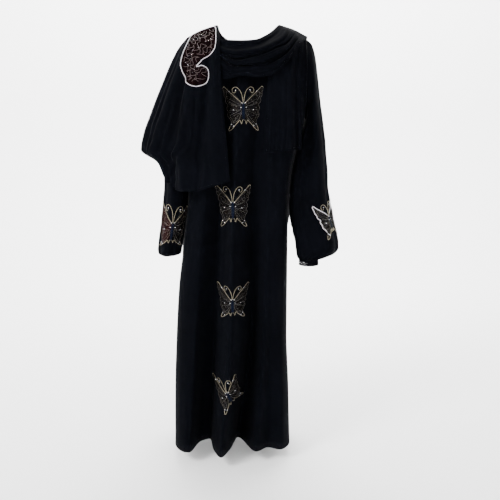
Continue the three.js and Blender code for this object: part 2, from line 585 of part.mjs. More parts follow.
function cuff({ name, x, y, halfX, halfY, top, bottom }) {
  const surface = (u, v) => {
    const angle = 2 * Math.PI * u;
    const gather = CUFF_GATHER_DEPTH * Math.cos(GATHERS * angle);
    return new THREE.Vector3(
      x + (halfX + gather) * Math.cos(angle),
      y - (halfY + gather) * Math.sin(angle),
      lerp(top, bottom, v),
    );
  };
  const grid = clothGrid(surface, steps(0, 1, GATHERS * 4).slice(0, -1), steps(0, 1, 2), { side: -1 });
  return piece(name, wallFromGrid(grid, { looped: true, side: -1 }), CREPE);
}

// ---- shawl layer ----

const broadEndAt = tableCurves(BROAD_END, 'level');
const broadEndHem = tableCurves(BROAD_END_HEM, 'u');

// Point of the broad end at u across and a section's level.
function broadEndPoint(u, level) {
  const { edge, out, back } = broadEndAt(level);
  const inFront = u < BROAD_END_TURN;
  const from = inFront ? edge : back;
  const quarter = inFront ? u / BROAD_END_TURN : (1 - u) / (1 - BROAD_END_TURN);
  const turn = (Math.PI / 2) * quarter;
  const toOut = Math.sin(turn);
  const fromEdge = inFront ? Math.cos(turn) ** CHEST_ROUNDNESS : Math.cos(turn);
  const arch = inFront ? YOKE_ARCH * Math.sin(Math.PI * toOut) * (1 - smoothstep(0, 1, level)) : 0;
  const point = new THREE.Vector3(
    lerp(from.x, out.x, toOut),
    lerp(out.y, from.y, fromEdge),
    lerp(from.z, out.z, toOut) + arch,
  );
  const outward = new THREE.Vector3(-toOut, inFront ? -fromEdge : fromEdge, 0).normalize();
  const rise = BROAD_END_FOLDS.reduce((sum, fold) => {
    const line = curve(BROAD_FOLD_LEVELS.lines, fold.lines)(level);
    const height = curve(BROAD_FOLD_LEVELS.rises, [0, ...fold.rises])(level);
    return sum + height * bump(u - line, fold.width);
  }, 0);
  return point.addScaledVector(outward, rise);
}

const broadEnd = (u, v) => broadEndPoint(u, v * broadEndHem(u).level);

// A stretch between an upper and a lower edge, with folds that run along it and fade at its ends.
function stretch(rows, folds, facing, fadeAt) {
  const sectionAt = tableCurves(rows, 'u');
  return (u, v) => {
    const { top, mid, low } = sectionAt(u);
    const along = ['x', 'y', 'z'].map((axis) => (
      curve([0, STRETCH_MIDDLE, 1], [top[axis], mid[axis], low[axis]])(v)));
    const rise = folds.reduce((sum, fold) => sum + fold.rise * bump(v - fold.at, fold.width), 0);
    return new THREE.Vector3(...along).add(new THREE.Vector3(0, facing * rise * fadeAt(u), 0));
  };
}

const cowl = stretch(COWL, COWL_FOLDS, -1, (u) => smoothstep(0, 0.2, u) * (1 - smoothstep(0.78, 1, u)));
const backBody = stretch(BACK_STRETCH, BACK_STRETCH_FOLDS, 1, (u) => 1 - smoothstep(0.8, 1, u));

// The back stretch starts as the broad end's rear edge and turns into the drape across the back.
function backStretch(u, v) {
  const rear = broadEnd(1, THREE.MathUtils.clamp(v, 0, 1));
  rear.x += 2 * SEAM;
  rear.y += 6 * SEAM * (1 - smoothstep(0, 0.2, v));
  const body = backBody(u, v);
  return rear.lerp(body, smoothstep(0, REAR_JOIN, u));
}

const narrowEndAt = tableCurves(NARROW_END, 'z');

function narrowEnd(u, v) {
  const { right, left } = narrowEndAt(lerp(NARROW_END[0].z, NARROW_END.at(-1).z, v));
  const rise = NARROW_END_FOLDS.reduce((sum, fold) => (
    sum + lerp(fold.top, fold.low, v) * bump(u - fold.at, fold.width)), 0) * smoothstep(0, 0.3, v);
  const crown = Math.sin(Math.PI * u);
  const point = right.lerp(left, u);
  point.y -= rise + NARROW_END_BELLY * crown * smoothstep(0, 0.25, v);
  point.z += YOKE_ARCH * crown * (1 - smoothstep(0, 0.15, v));
  return point;
}

const broadEndColumns = [
  ...steps(0, 0.56, 16),
  ...steps(0.56, BROAD_END_TURN, 4).slice(1),
  ...steps(BROAD_END_TURN, 1, 5).slice(1),
];
const broadEndRows = steps(0, 1, 15);
const broadEndGrid = clothGrid(broadEnd, broadEndColumns, broadEndRows, {
  side: -1,
  flatten: (u, v) => (v === 0 ? 'y' : '') + (u === 1 ? 'x' : ''),
});
const cowlGrid = clothGrid(cowl, steps(0, 1, 16), steps(0, 1, 14), { flatten: (u) => (u === 1 ? 'y' : '') });
const narrowGrid = clothGrid(narrowEnd, steps(0, 1, 12), steps(0, 1, 9));
const backStretchGrid = clothGrid(backStretch, steps(0, 1, 20), steps(0, 1, 12), {
  side: -1,
  flatten: (u) => (u === 0 ? 'x' : '') + (u === 1 ? 'y' : ''),
});

// ---- appliques ----

// A thin plate on a cloth grid. Its points lie on the grid's own columns and rows, so that it follows
// the cloth's facets, and the rows close up where they meet the outline. outline(u) gives the rows of
// its upper and lower edge, and span the columns.
function plate(cloth, columns, rows, span, outline) {
  const inside = columns.filter((u) => u > span[0] + 1e-6 && u < span[1] - 1e-6);
  const cuts = [span[0], ...inside, span[1]];
  const edges = cuts.map((u) => outline(u));
  const highest = Math.min(...edges.map((edge) => edge.top));
  const lowest = Math.max(...edges.map((edge) => edge.low));
  const crossed = [highest, ...rows.filter((v) => v > highest + 1e-6 && v < lowest - 1e-6), lowest];
  const last = crossed.length - 1;
  return cuts.map((u, i) => crossed.map((row, j) => {
    const room = (edges[i].low - edges[i].top) * PLATE_ROW_SHARE;
    const v = THREE.MathUtils.clamp(row, edges[i].top + room * j, edges[i].low - room * (last - j));
    return gridPoint(cloth, columns, rows, u, v);
  }));
}

// Point and normal on the facets of a grid, between its columns and rows.
function gridPoint(grid, columns, rows, u, v) {
  const cell = (values, x) => {
    let i = 0;
    while (i < values.length - 2 && x > values[i + 1]) i += 1;
    return [i, THREE.MathUtils.clamp((x - values[i]) / (values[i + 1] - values[i]), 0, 1)];
  };
  const [i, across] = cell(columns, u);
  const [j, down] = cell(rows, v);
  const mix = (key) => {
    const upper = grid[i][j][key].clone().lerp(grid[i + 1][j][key], across);
    const lower = grid[i][j + 1][key].clone().lerp(grid[i + 1][j + 1][key], across);
    return upper.lerp(lower, down);
  };
  return { point: mix('point'), normal: mix('normal').normalize() };
}

const butterflyEdge = tableCurves(BUTTERFLY, 'x');
const motifWall = { wall: MOTIF_WALL, lift: MOTIF_LIFT + MOTIF_WALL };

// A butterfly on the gown's front.
function frontButterfly({ name, x, z, halfWidth, halfHeight, tilt }) {
  const rowOf = (u, height) => {
    const top = gownFront.topZ(u);
    return (height - top) / (HEM_Z - top);
  };
  const span = [gownFront.columnAt(x - halfWidth, z), gownFront.columnAt(x + halfWidth, z)];
  const outline = (u) => {
    const across = lerp(-1, 1, (u - span[0]) / (span[1] - span[0]));
    const edge = butterflyEdge(across);
    const lean = tilt * across * halfWidth;
    return {
      top: rowOf(u, z + edge.top * halfHeight + lean),
      low: rowOf(u, z + edge.low * halfHeight + lean),
    };
  };
  const grid = plate(frontGrid, frontColumns, frontRows, span, outline);
  return piece(name, wallFromGrid(grid, motifWall), SHEER);
}

// A butterfly on a sleeve, wrapped from one turn to another.
function sleeveButterfly(name, grid, rings, turns, middle, halfRows) {
  const side = -Math.sign(rings[0].outX);
  const looped = [...grid, grid[0]];
  const columns = [...sleeveColumns, 1];
  const outline = (u) => {
    const edge = butterflyEdge(lerp(-1, 1, (u - turns[0]) / (turns[1] - turns[0])));
    return { top: middle - edge.top * halfRows, low: middle - edge.low * halfRows };
  };
  const plateGrid = plate(looped, columns, sleeveRows(rings), turns, outline);
  return piece(name, wallFromGrid(plateGrid, { ...motifWall, side }), SHEER);
}

function paisley() {
  const edge = tableCurves(PAISLEY, 'u');
  const outline = (u) => {
    const hem = broadEndHem(u).level;
    const { top, low } = edge(u);
    return { top: top / hem, low: low / hem };
  };
  const span = [PAISLEY[0].u, PAISLEY.at(-1).u];
  const grid = plate(broadEndGrid, broadEndColumns, broadEndRows, span, outline);
  const walls = { wall: MOTIF_WALL, lift: PAISLEY_LIFT + MOTIF_WALL, side: -1 };
  return piece('paisley', wallFromGrid(grid, walls), PAISLEY_CLOTH);
}

// ---- the garment ----

const abaya = new THREE.Group();
abaya.add(
  piece('gown_front', wallFromGrid(frontGrid), CREPE),
  piece('gown_back', wallFromGrid(backGrid, { side: -1 }), CREPE),
  piece('sleeve_left', wallFromGrid(sleeveLeftGrid, { looped: true, side: -1 }), CREPE),
  piece('sleeve_right', wallFromGrid(sleeveRightGrid, { looped: true }), CREPE),
  ...CUFFS.map(cuff),
  piece('shawl_end_right', wallFromGrid(broadEndGrid, { side: -1 }), CREPE),
  piece('shawl_cowl', wallFromGrid(cowlGrid), CREPE),
  piece('shawl_end_left', wallFromGrid(narrowGrid), CREPE),
  piece('shawl_back', wallFromGrid(backStretchGrid, { side: -1 }), CREPE),
  ...FRONT_BUTTERFLIES.map(frontButterfly),
  sleeveButterfly('butterfly_sleeve_right', sleeveRightGrid, SLEEVE_RIGHT, [0.06, 0.46], 0.66, 0.072),
  sleeveButterfly('butterfly_sleeve_left', sleeveLeftGrid, SLEEVE_LEFT, [0.0, 0.26], 0.605, 0.08),
  paisley(),
);

export default abaya;
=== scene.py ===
"""An abaya of blue-black crepe in the form it keeps while it is worn, with its draped shawl layer.

The cloth's surfaces are worked out in millimetres and placed in metres. The front faces -Y, so the
wearer's right hand is at -X, and the origin is at the centre of the neck opening. Every piece of
cloth is a grid laid on a surface S(u, v); the embroidery is made on the same surfaces, lifted off.
"""

import logging
import math
from dataclasses import dataclass, field
from enum import Enum
from typing import Callable, Sequence

import bmesh
import bpy
import numpy as np
from mathutils import Matrix, Vector


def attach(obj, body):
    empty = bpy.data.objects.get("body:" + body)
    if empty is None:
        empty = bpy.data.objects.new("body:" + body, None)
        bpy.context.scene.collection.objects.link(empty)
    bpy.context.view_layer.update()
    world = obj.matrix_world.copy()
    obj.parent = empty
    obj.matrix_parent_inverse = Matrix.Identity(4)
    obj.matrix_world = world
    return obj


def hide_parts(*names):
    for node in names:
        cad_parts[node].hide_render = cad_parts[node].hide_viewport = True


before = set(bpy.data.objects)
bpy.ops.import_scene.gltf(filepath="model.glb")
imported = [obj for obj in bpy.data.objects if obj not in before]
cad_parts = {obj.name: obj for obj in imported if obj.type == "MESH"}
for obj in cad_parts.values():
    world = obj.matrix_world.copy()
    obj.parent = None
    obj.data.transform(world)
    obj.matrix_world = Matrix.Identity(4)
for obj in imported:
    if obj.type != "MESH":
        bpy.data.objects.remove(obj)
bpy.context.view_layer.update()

LOG = logging.getLogger("abaya")
BODY = "root"
MM = 0.001

Values = np.ndarray
Surface = Callable[[Values, Values], Values]

HEM_Z = -1420.0
SHOULDER_X = 190.0
SHOULDER_Z = -28.0
SHOULDER_SLOPE = 0.42
SHOULDER_ARCH = 4.0
YOKE_ARCH = 5.0
NECK_X = 95.0
ARMHOLE_Z = -280.0
ARMHOLE_HALF_DEPTH = 66.0
ARMHOLE_EASE = 0.45
NECK_SPREAD = 0.7
SHOULDER_ROUND = 110.0
SEAM = 0.3
CHEST_Z = -300.0
LEVELS = (HEM_Z, -950.0, -600.0, CHEST_Z)


# ---- curves, tables and unevenness ----


def blend(low: Values, high: Values, share: Values) -> Values:
    """Value that lies the given share of the way from low to high."""
    return low + (high - low) * share


def smooth(start: float, end: float, x: Values) -> Values:
    """Soft step from 0 at start to 1 at end."""
    t = np.clip((x - start) / (end - start), 0.0, 1.0)
    return t * t * (3 - 2 * t)


def bump(distance: Values, width: float) -> Values:
    """Rounded rise of the given width about a line."""
    near = np.abs(distance) < width
    return np.where(near, np.cos(math.pi / 2 * distance / width) ** 2, 0.0)


def curve(keys: Sequence[float], values: Values, at: Values) -> Values:
    """Smooth curve through points that never overshoots them.

    Args:
        keys: increasing places of the points.
        values: heights of the points, one each, or a row of heights for each point.
        at: places to read; where values has rows, one place for each of their columns.

    Returns:
        The curve's height at each place.
    """
    keys = np.asarray(keys, float)
    values = np.asarray(values, float)
    gaps = np.diff(keys)
    slopes = np.diff(values, axis=0) / gaps.reshape(-1, *([1] * (values.ndim - 1)))
    before, after = slopes[:-1], slopes[1:]
    level = before * after <= 0
    inner = np.where(level, 0.0, 2 * before * after / np.where(level, 1.0, before + after))
    tangents = np.concatenate([slopes[:1], inner, slopes[-1:]])
    i = np.clip(np.searchsorted(keys, at, side="right") - 1, 0, len(keys) - 2)
    span = gaps[i]
    t = np.clip((at - keys[i]) / span, 0.0, 1.0)
    pick = (lambda a, k: a[k]) if values.ndim == 1 else (lambda a, k: a[k, np.arange(len(at))])
    rise = blend(pick(values, i), pick(values, i + 1), t * t * (3 - 2 * t))
    return rise + t * (1 - t) * span * ((1 - t) * pick(tangents, i) - t * pick(tangents, i + 1))


class Table:
    """Rows of numbers under named columns, read as smooth curves over the first column."""

    def __init__(self, columns: str, rows: Sequence[Sequence[float]]) -> None:
        """Keep the rows in the order of their first column."""
        self.names = columns.split()
        self.rows = np.array(sorted(rows), float)

    def read(self, at: Values) -> dict[str, Values]:
        """Every column's value at the given places of the first column."""
        keys = self.rows[:, 0]
        return {n: curve(keys, self.rows[:, i], at) for i, n in enumerate(self.names) if i}

    def points(self, at: Values, *names: str) -> list[Values]:
        """Points at the given places, each from three columns called nameX, nameY and nameZ."""
        found = self.read(at)
        return [np.stack([found[name + axis] for axis in "XYZ"], axis=1) for name in names]


class Unevenness:
    """Soft, repeatable unevenness, as cloth has between its folds."""

    def __init__(self, seed: int, size: int = 64) -> None:
        """Fill a lattice of values between -1 and 1."""
        self.lattice = np.random.default_rng(seed).uniform(-1.0, 1.0, (size, size))

    def at(self, x: Values, y: Values) -> Values:
        """Unevenness at places whose lattice spacing is 1."""
        x, y = np.broadcast_arrays(x, y)
        i, j = np.floor(x).astype(int), np.floor(y).astype(int)
        fx, fy = smooth(0, 1, x - i), smooth(0, 1, y - j)
        size = len(self.lattice)
        corner = [[self.lattice[(i + a) % size, (j + b) % size] for b in (0, 1)] for a in (0, 1)]
        return blend(blend(corner[0][0], corner[1][0], fx), blend(corner[0][1], corner[1][1], fx), fy)


def normals_of(surface: Surface, u: Values, v: Values, side: int) -> Values:
    """Unit normals of a surface, on the side that faces out."""
    h = 1e-3
    du = surface(u + h, v) - surface(u - h, v)
    dv = surface(u, v + h) - surface(u, v - h)
    normals = np.cross(dv, du) * side
    return normals / np.maximum(np.linalg.norm(normals, axis=1, keepdims=True), 1e-9)


# ---- the forms of the cloth ----


def shoulder_z(x: Values) -> Values:
    """Height of the shoulder line at a distance from the middle."""
    inwards = SHOULDER_X - np.abs(x)
    arch = np.sin(math.pi * np.clip(inwards / (SHOULDER_X - NECK_X), 0, 1))
    return SHOULDER_Z + SHOULDER_SLOPE * inwards + SHOULDER_ARCH * arch


SIDES = Table("z right left", [
    (ARMHOLE_Z, -190, 190), (-300, -189, 188), (-340, -189, 176.5), (-380, -190, 162), (-430, -192, 150),
    (-490, -196, 142), (-560, -201, 138),
    (-700, -219, 138), (-850, -239, 138), (-1010, -250, 138), (-1210, -259, 146), (HEM_Z, -263, 152),
])
BACK_FLANKS = Table("z right left", [
    (-300, 0, 0), (-330, 0, 6), (-350, 0, 8), (-420, 0, 13), (-480, 2, 15), (-540, 15, 16), (-620, 18, 11),
    (-680, 15, 0), (-740, 9, 0), (-820, 0, 0),
])
UPPER_FULLNESS = Table("z share", [(-300, 1), (-200, 0.96), (-120, 0.86), (-60, 0.72), (20, 0.58)])

# Hanging folds, u and depth at the chest, the hip, the knee and the hem.
FRONT_FOLDS = (
    (-1, 0, -1, 4, -1, 10, -1, 20),
    (-0.8, 70, -0.82, 78, -0.84, 92, -0.86, 108),
    (-0.5, 112, -0.46, 124, -0.44, 142, -0.51, 164),
    (-0.34, 108, -0.3, 102, -0.28, 94, -0.365, 84),
    (-0.27, 104, -0.222, 92, -0.2, 80, -0.26, 68),
    (-0.19, 118, -0.14, 118, -0.11, 124, -0.2, 146),
    (-0.1, 130, -0.045, 150, -0.005, 172, -0.11, 200),
    (0.01, 119, 0.07, 121, 0.1, 132, -0.025, 150),
    (0.12, 102, 0.205, 84, 0.23, 72, 0.06, 62),
    (0.33, 120, 0.4, 126, 0.4, 140, 0.27, 158),
    (0.45, 115, 0.52, 119, 0.5, 128, 0.41, 130),
    (0.6, 102, 0.66, 108, 0.64, 124, 0.59, 142),
    (0.82, 64, 0.84, 70, 0.85, 86, 0.86, 106),
    (1, 0, 1, 4, 1, 10, 1, 20),
)
BACK_FOLDS = (
    (-1, 0, -1, -4, -1, -10, -1, -20),
    (-0.82, 58, -0.83, 64, -0.84, 74, -0.86, 88),
    (-0.56, 94, -0.58, 106, -0.6, 126, -0.6, 146),
    (-0.38, 92, -0.39, 88, -0.4, 84, -0.4, 78),
    (-0.15, 106, -0.16, 116, -0.14, 136, -0.17, 160),
    (0.03, 101, 0.04, 94, 0.06, 88, 0.03, 82),
    (0.26, 105, 0.28, 114, 0.28, 130, 0.25, 150),
    (0.45, 90, 0.46, 88, 0.45, 84, 0.43, 80),
    (0.64, 82, 0.66, 92, 0.66, 108, 0.64, 128),
    (0.84, 48, 0.85, 56, 0.86, 68, 0.87, 84),
    (1, 0, 1, -4, 1, -10, 1, -20),
)


@dataclass
class GownPanel:
    """Front or back of the gown, one length of cloth from the shoulders to the hem.

    Args:
        folds: its hanging folds.
        facing: -1 for the front and +1 for the back.
        neck_drop: depth of its neckline below the side neck point.
        seed: names its unevenness.
    """

    folds: Sequence[Sequence[float]]
    facing: int
    neck_drop: float
    seed: int
    long_folds: float = 3.4
    fine_folds: float = 0.7
    sway: float = 0.012
    lines: Values = field(init=False)

    def __post_init__(self) -> None:
        """Order the fold lines from the hem up."""
        rows = np.array(self.folds, float)
        self.lines = rows.reshape(len(rows), 4, 2)[:, ::-1]
        self.uneven = Unevenness(self.seed)

    def fold_at(self, c: Values, z: Values) -> tuple[Values, Values]:
        """Place across and depth of the column c at a height."""
        columns = self.lines[:, -1, 0]
        at_z = [np.array([curve(LEVELS, line[:, k], z) for line in self.lines]) for k in (0, 1)]
        return curve(columns, at_z[0], c), curve(columns, at_z[1], c)

    def spread(self, z: Values) -> Values:
        """Half angle that the columns are spread over at a height."""
        return blend(math.pi / 2, NECK_SPREAD, smooth(ARMHOLE_Z, SHOULDER_Z - 40, z))

    def x_at(self, u: Values, z: Values) -> Values:
        """Distance to the left of the middle."""
        side = SIDES.read(z)
        half = (side["left"] - side["right"]) / 2
        spread = self.spread(z)
        return (side["left"] + side["right"]) / 2 + half * np.sin(u * spread) / np.sin(spread)

    def top(self, c: Values) -> Values:
        """Height of the column's upper end, on the neckline or the shoulder line."""
        x = np.abs(self.x_at(c, np.zeros_like(c)))
        drop = self.neck_drop * np.sqrt(np.clip(1 - (x / NECK_X) ** 2, 0, 1))
        return np.where(x >= NECK_X, shoulder_z(x), shoulder_z(NECK_X) - drop)

    def unevenness(self, c: Values, z: Values) -> Values:
        """Soft secondary folds, deeper towards the hem and none at the seams."""
        calm = (1 - np.abs(c) ** 6) * blend(0.25, 1.0, smooth(-180, -420, z))
        calm *= 1 + 0.5 * smooth(-900, -1400, z)
        long = self.long_folds * self.uneven.at(c * 8 + 9, z / 430 + 7)
        fine = self.fine_folds * self.uneven.at(c * 21 + 31, z / 250 + 17)
        return calm * (long + fine)

    def place(self, c: Values, z: Values) -> Values:
        """Point of the column c at a height."""
        sway = self.sway * (1 - c * c) * self.uneven.at(c * 3 + 40, z / 330 + 3) * smooth(-250, -500, z)
        u, fold = self.fold_at(np.clip(c + sway, -1, 1), np.minimum(z, CHEST_Z))
        x = self.x_at(u, z)
        if self.facing > 0:
            flank = BACK_FLANKS.read(z)
            beyond = np.where(u < 0, -flank["right"], flank["left"])
            x = x + beyond * bump(np.abs(u) - 0.9, 0.1)
        share = np.where(z > CHEST_Z, UPPER_FULLNESS.read(z)["share"], 1.0)
        middle = (SHOULDER_Z + ARMHOLE_Z) / 2
        height = np.clip(np.abs((z - middle) / (SHOULDER_Z - middle)), 0, 1)
        armhole = ARMHOLE_HALF_DEPTH * np.sqrt(1 - height**2)
        sideways = np.abs(u) ** 3
        depth = fold * share * (1 - ARMHOLE_EASE * sideways * armhole / ARMHOLE_HALF_DEPTH)
        depth = depth + armhole * sideways + self.unevenness(c, z)
        below = np.clip((shoulder_z(x) - z) / SHOULDER_ROUND, 0, 1)
        rounded = depth * np.sqrt(1 - (1 - below) ** 2) + SEAM / 2
        return np.stack([x, self.facing * rounded, z], axis=1)

    def surface(self, u: Values, v: Values) -> Values:
        """Surface from the top (v = 0) to the hem (v = 1)."""
        c = np.clip(u, -1, 1)
        return self.place(c, blend(self.top(c), HEM_Z, v))

    def column_at(self, x: Values, z: Values) -> Values:
        """Column that passes each place on the panel."""
        low, high = -np.ones_like(x), np.ones_like(x)
        for _ in range(26):
            middle = (low + high) / 2
            left = self.place(middle, z)[:, 0] < x
            low, high = np.where(left, middle, low), np.where(left, high, middle)
        return low


RING = "v outX outZ inX inZ mid front back"


def rings(*rows: Sequence[float]) -> Table:
    """Rings of a sleeve at even steps of v, from the armhole down."""
    return Table(RING, [(i / (len(rows) - 1), *row) for i, row in enumerate(rows)])


SLEEVE_LEFT = rings(
    (190, -28, 190, -280, 0, 66, 66), (209, -44, 193, -290, 0, 65, 64), (222, -82, 191, -304, -2, 63, 61),
    (231, -144, 182, -334, -5, 61, 58), (242, -230, 168, -376, -8, 60, 55),
    (256, -322, 156, -424, -12, 60, 52),
    (266, -408, 146, -480, -16, 60, 50), (276, -531, 141.5, -560, -22, 60, 50),
    (286, -592, 144, -612, -26, 61, 51), (297, -642, 153, -652, -30, 62, 53),
    (310, -692, 164, -696, -34, 62, 54),
    (311, -718, 167, -722, -36, 58, 52), (297, -738, 169, -740, -36, 49, 45),
    (270, -750, 172, -751, -36, 40, 37),
    (245, -757, 176, -757, -36, 33, 31),
)
SLEEVE_RIGHT = rings(
    (-190, -28, -190, -280, 0, 66, 66), (-207, -46, -193, -290, 0, 65, 64),
    (-223, -82, -195, -306, -2, 63, 61),
    (-243, -142, -196, -332, -4, 61, 59), (-266, -222, -197, -366, -6, 60, 57),
    (-282, -306, -196.5, -408, -10, 60, 55), (-284, -385, -196.6, -452, -14, 58, 53),
    (-282, -458, -199.6, -502, -20, 56, 50), (-286, -540, -203.4, -560, -26, 55, 48),
    (-295, -620, -211.5, -630, -32, 55, 48), (-305, -690, -220.5, -692, -38, 55, 48),
    (-309, -720, -224.5, -720, -40, 52, 46), (-306, -736, -229, -736, -40, 47, 42),
    (-296, -740, -241, -740, -40, 38, 34), (-291, -730, -246, -730, -40, 29, 27),
)
# Folds down a sleeve: turn from the outer point through the front, width, rise at top, elbow and low.
LEFT_SLEEVE_FOLDS = (
    (0.42, 0.07, 3, 9, 3), (0.29, 0.09, -8, -17, -6), (0.17, 0.08, 4, 8, 6), (0.68, 0.1, -4, -12, -6),
    (0.83, 0.09, 3, 7, 5), (0.09, 0.04, -2, -5, -3), (0.36, 0.035, 1, -4, -2),
)
RIGHT_SLEEVE_FOLDS = (
    (0.4, 0.07, -3, -8, -7), (0.22, 0.1, 2, 6, 6), (0.66, 0.1, -4, -10, -7), (0.82, 0.09, 3, 6, 5),
    (0.13, 0.04, -1, -4, -4), (0.31, 0.035, 1, 2, -3),
)


@dataclass
class SleeveForm:
    """A long sleeve that is gathered at its low end.

    Args:
        rings: its rings from the armhole down.
        folds: the folds that run down it.
        seed: names its unevenness.
    """

    rings: Table
    folds: Sequence[Sequence[float]]
    seed: int
    gathers: int = 10
    gather_depth: float = 2.2
    pleats: int = 27
    pleat_depth: float = 1.7
    creases: float = 2.2

    def __post_init__(self) -> None:
        """Tell the side that the sleeve is on."""
        self.sign = 1.0 if self.rings.rows[0, 1] > 0 else -1.0
        self.uneven = Unevenness(self.seed)

    def fold_rise(self, turn: Values, v: Values) -> Values:
        """How far the long folds stand out."""
        total = np.zeros_like(turn)
        for line, width, top, elbow, low in self.folds:
            away = turn - line - np.round(turn - line)
            height = curve((0.06, 0.2, 0.45, 0.84, 0.96), (0, top, elbow, low, 0), v)
            total += height * bump(away, width)
        return total

    def fine_rise(self, angle: Values, v: Values) -> Values:
        """Creases across the elbow, soft waves, and the fine pleats above the cuff."""
        ring_x, ring_y = 1.7 * np.cos(angle), 1.7 * np.sin(angle)
        waves = self.uneven.at(ring_x + 9 + v * 5, ring_y + 12) * 2.4 * smooth(0.1, 0.3, v)
        wander = self.uneven.at(ring_x + 30, v * 9 + 5)
        slope = v * 15 + 0.75 * np.cos(angle + 0.8) + 0.9 * wander
        crest = (0.5 + 0.5 * np.sin(2 * math.pi * slope)) ** 2
        strength = self.uneven.at(ring_x + 3, v * 6 + 40) * 0.5 + 0.5
        bent = smooth(0.22, 0.42, v) * (1 - smooth(0.6, 0.86, v))
        creases = self.creases * (crest - 0.35) * strength * bent
        run = smooth(0.8, 0.97, v)
        pleats = self.pleat_depth * run * np.cos(self.pleats * angle + 1.6 * wander)
        settled = 1 - smooth(0.97, 1.0, v) * 0.5
        return (waves * (1 - smooth(0.85, 1, v)) + creases + pleats) * settled

    def surface(self, u: Values, v: Values) -> Values:
        """Surface from the armhole (v = 0) to the cuff (v = 1); u turns from the outer point forwards."""
        r = self.rings.read(v)
        angle = 2 * math.pi * u
        along = (1 + np.cos(angle)) / 2
        from_top = np.clip((1 - along) * (SHOULDER_Z - ARMHOLE_Z) / SHOULDER_ROUND, 0, 1)
        shoulder = np.sqrt(1 - (1 - from_top) ** 2)
        flat = blend(shoulder, 1.0, smooth(0, 0.3, v))
        gather = self.gather_depth * smooth(0.86, 1, v) * np.cos(self.gathers * angle)
        front = np.mod(angle, 2 * math.pi) < math.pi
        half = np.where(front, r["front"], r["back"])
        folds = self.fold_rise(u, v)
        fine = self.fine_rise(angle, v)
        reach = 1 + (folds + gather + fine) / half
        wide = 1 + (gather + 0.4 * folds + fine) / 60
        middle_x = (r["outX"] + r["inX"]) / 2
        x = middle_x + (r["outX"] - r["inX"]) * (along - 0.5) * wide + self.sign * SEAM
        sine = np.sin(angle)
        y = r["mid"] - (half * reach * flat * sine + SEAM / 2 * np.sign(sine))
        return np.stack([x, y, blend(r["inZ"], r["outZ"], 0.5 + (along - 0.5) * wide)], axis=1)


@dataclass
class CuffForm:
    """A short tube that elastic draws in."""

    x: float
    y: float
    half_x: float
    half_y: float
    top: float
    bottom: float
    gathers: int = 36
    depth: float = 0.9
    shirring: float = 0.9

    def surface(self, u: Values, v: Values) -> Values:
        """Surface from the top to the open end, pinched along two rows of elastic."""
        angle = 2 * math.pi * u
        pinch = bump(v - 0.34, 0.13) + bump(v - 0.7, 0.13)
        rise = self.depth * np.cos(self.gathers * angle + 1.5 * np.cos(3 * angle)) - self.shirring * pinch
        x = self.x + (self.half_x + rise) * np.cos(angle)
        y = self.y - (self.half_y + rise) * np.sin(angle)
        return np.stack([x, y, blend(self.top, self.bottom, v)], axis=1)


BROAD_END = Table("level edgeX edgeY edgeZ outX outY outZ backX backY backZ", [
    (0, -99, 3, 15, -199, 3, -24.5, -195, 12, -25.5),
    (1, -88, -86, -32, -226, 0, -60, -206, 56, -62),
    (2, -84, -130, -98, -252, -2, -112, -218, 80, -112),
    (3, -82, -144, -170, -284, -4, -180, -232, 90, -175),
    (4, -76, -145, -255, -319, -8, -262, -248, 94, -255),
    (5, -68, -148, -335, -347, -12, -335, -262, 97, -330),
    (5.7, -63, -152, -395, -356, -14, -384, -270, 98, -384),
    (6.2, -60, -156, -436, -314, -16, -420, -273, 98, -420),
    (7, -56, -162, -500, -284, -20, -492, -275, 98, -480),
    (7.5, -54, -164, -540, -280, -22, -532, -275, 98, -520),
])
BROAD_END_HEM = Table("u level", [
    (0, 6.72), (0.12, 6.96), (0.25, 7.18), (0.36, 7.2), (0.46, 7.08), (0.52, 6.9), (0.57, 6.3), (0.62, 5.85),
    (0.7, 5.72), (1, 5.66),
])
# Folds of the broad end: u and rise at four sections down it, and the fold's width.
BROAD_FOLD_LEVELS = (1, 3.5, 5.2, 7)
BROAD_END_FOLDS = (
    ((0.035, 0.05, 0.055, 0.07), (2, 5, 5, 4), 0.045),
    ((0.085, 0.105, 0.125, 0.215), (-4, -14, -14, -9), 0.045),
    ((0.18, 0.215, 0.225, 0.33), (2, 8, 9, 8), 0.06),
    ((0.28, 0.3, 0.305, 0.44), (-3, -13, -13, -10), 0.05),
    ((0.2, 0.2, 0.215, 0.5), (0, 0, -7, -6), 0.03),
    ((0.25, 0.25, 0.27, 0.56), (0, 0, -5, -4), 0.03),
    ((0.37, 0.39, 0.42, 0.52), (1, 7, 8, 6), 0.06),
    ((0.5, 0.52, 0.54, 0.6), (-1, -6, -6, -4), 0.05),
    ((0.82, 0.83, 0.83, 0.84), (-2, -9, -9, -8), 0.07),
    ((0.155, 0.165, 0.17, 0.26), (0, -3, -3, -3), 0.02),
    ((0.33, 0.345, 0.37, 0.5), (0, -3, -5, -5), 0.02),
    ((0.43, 0.45, 0.47, 0.56), (0, -3, -4, -4), 0.024),
)


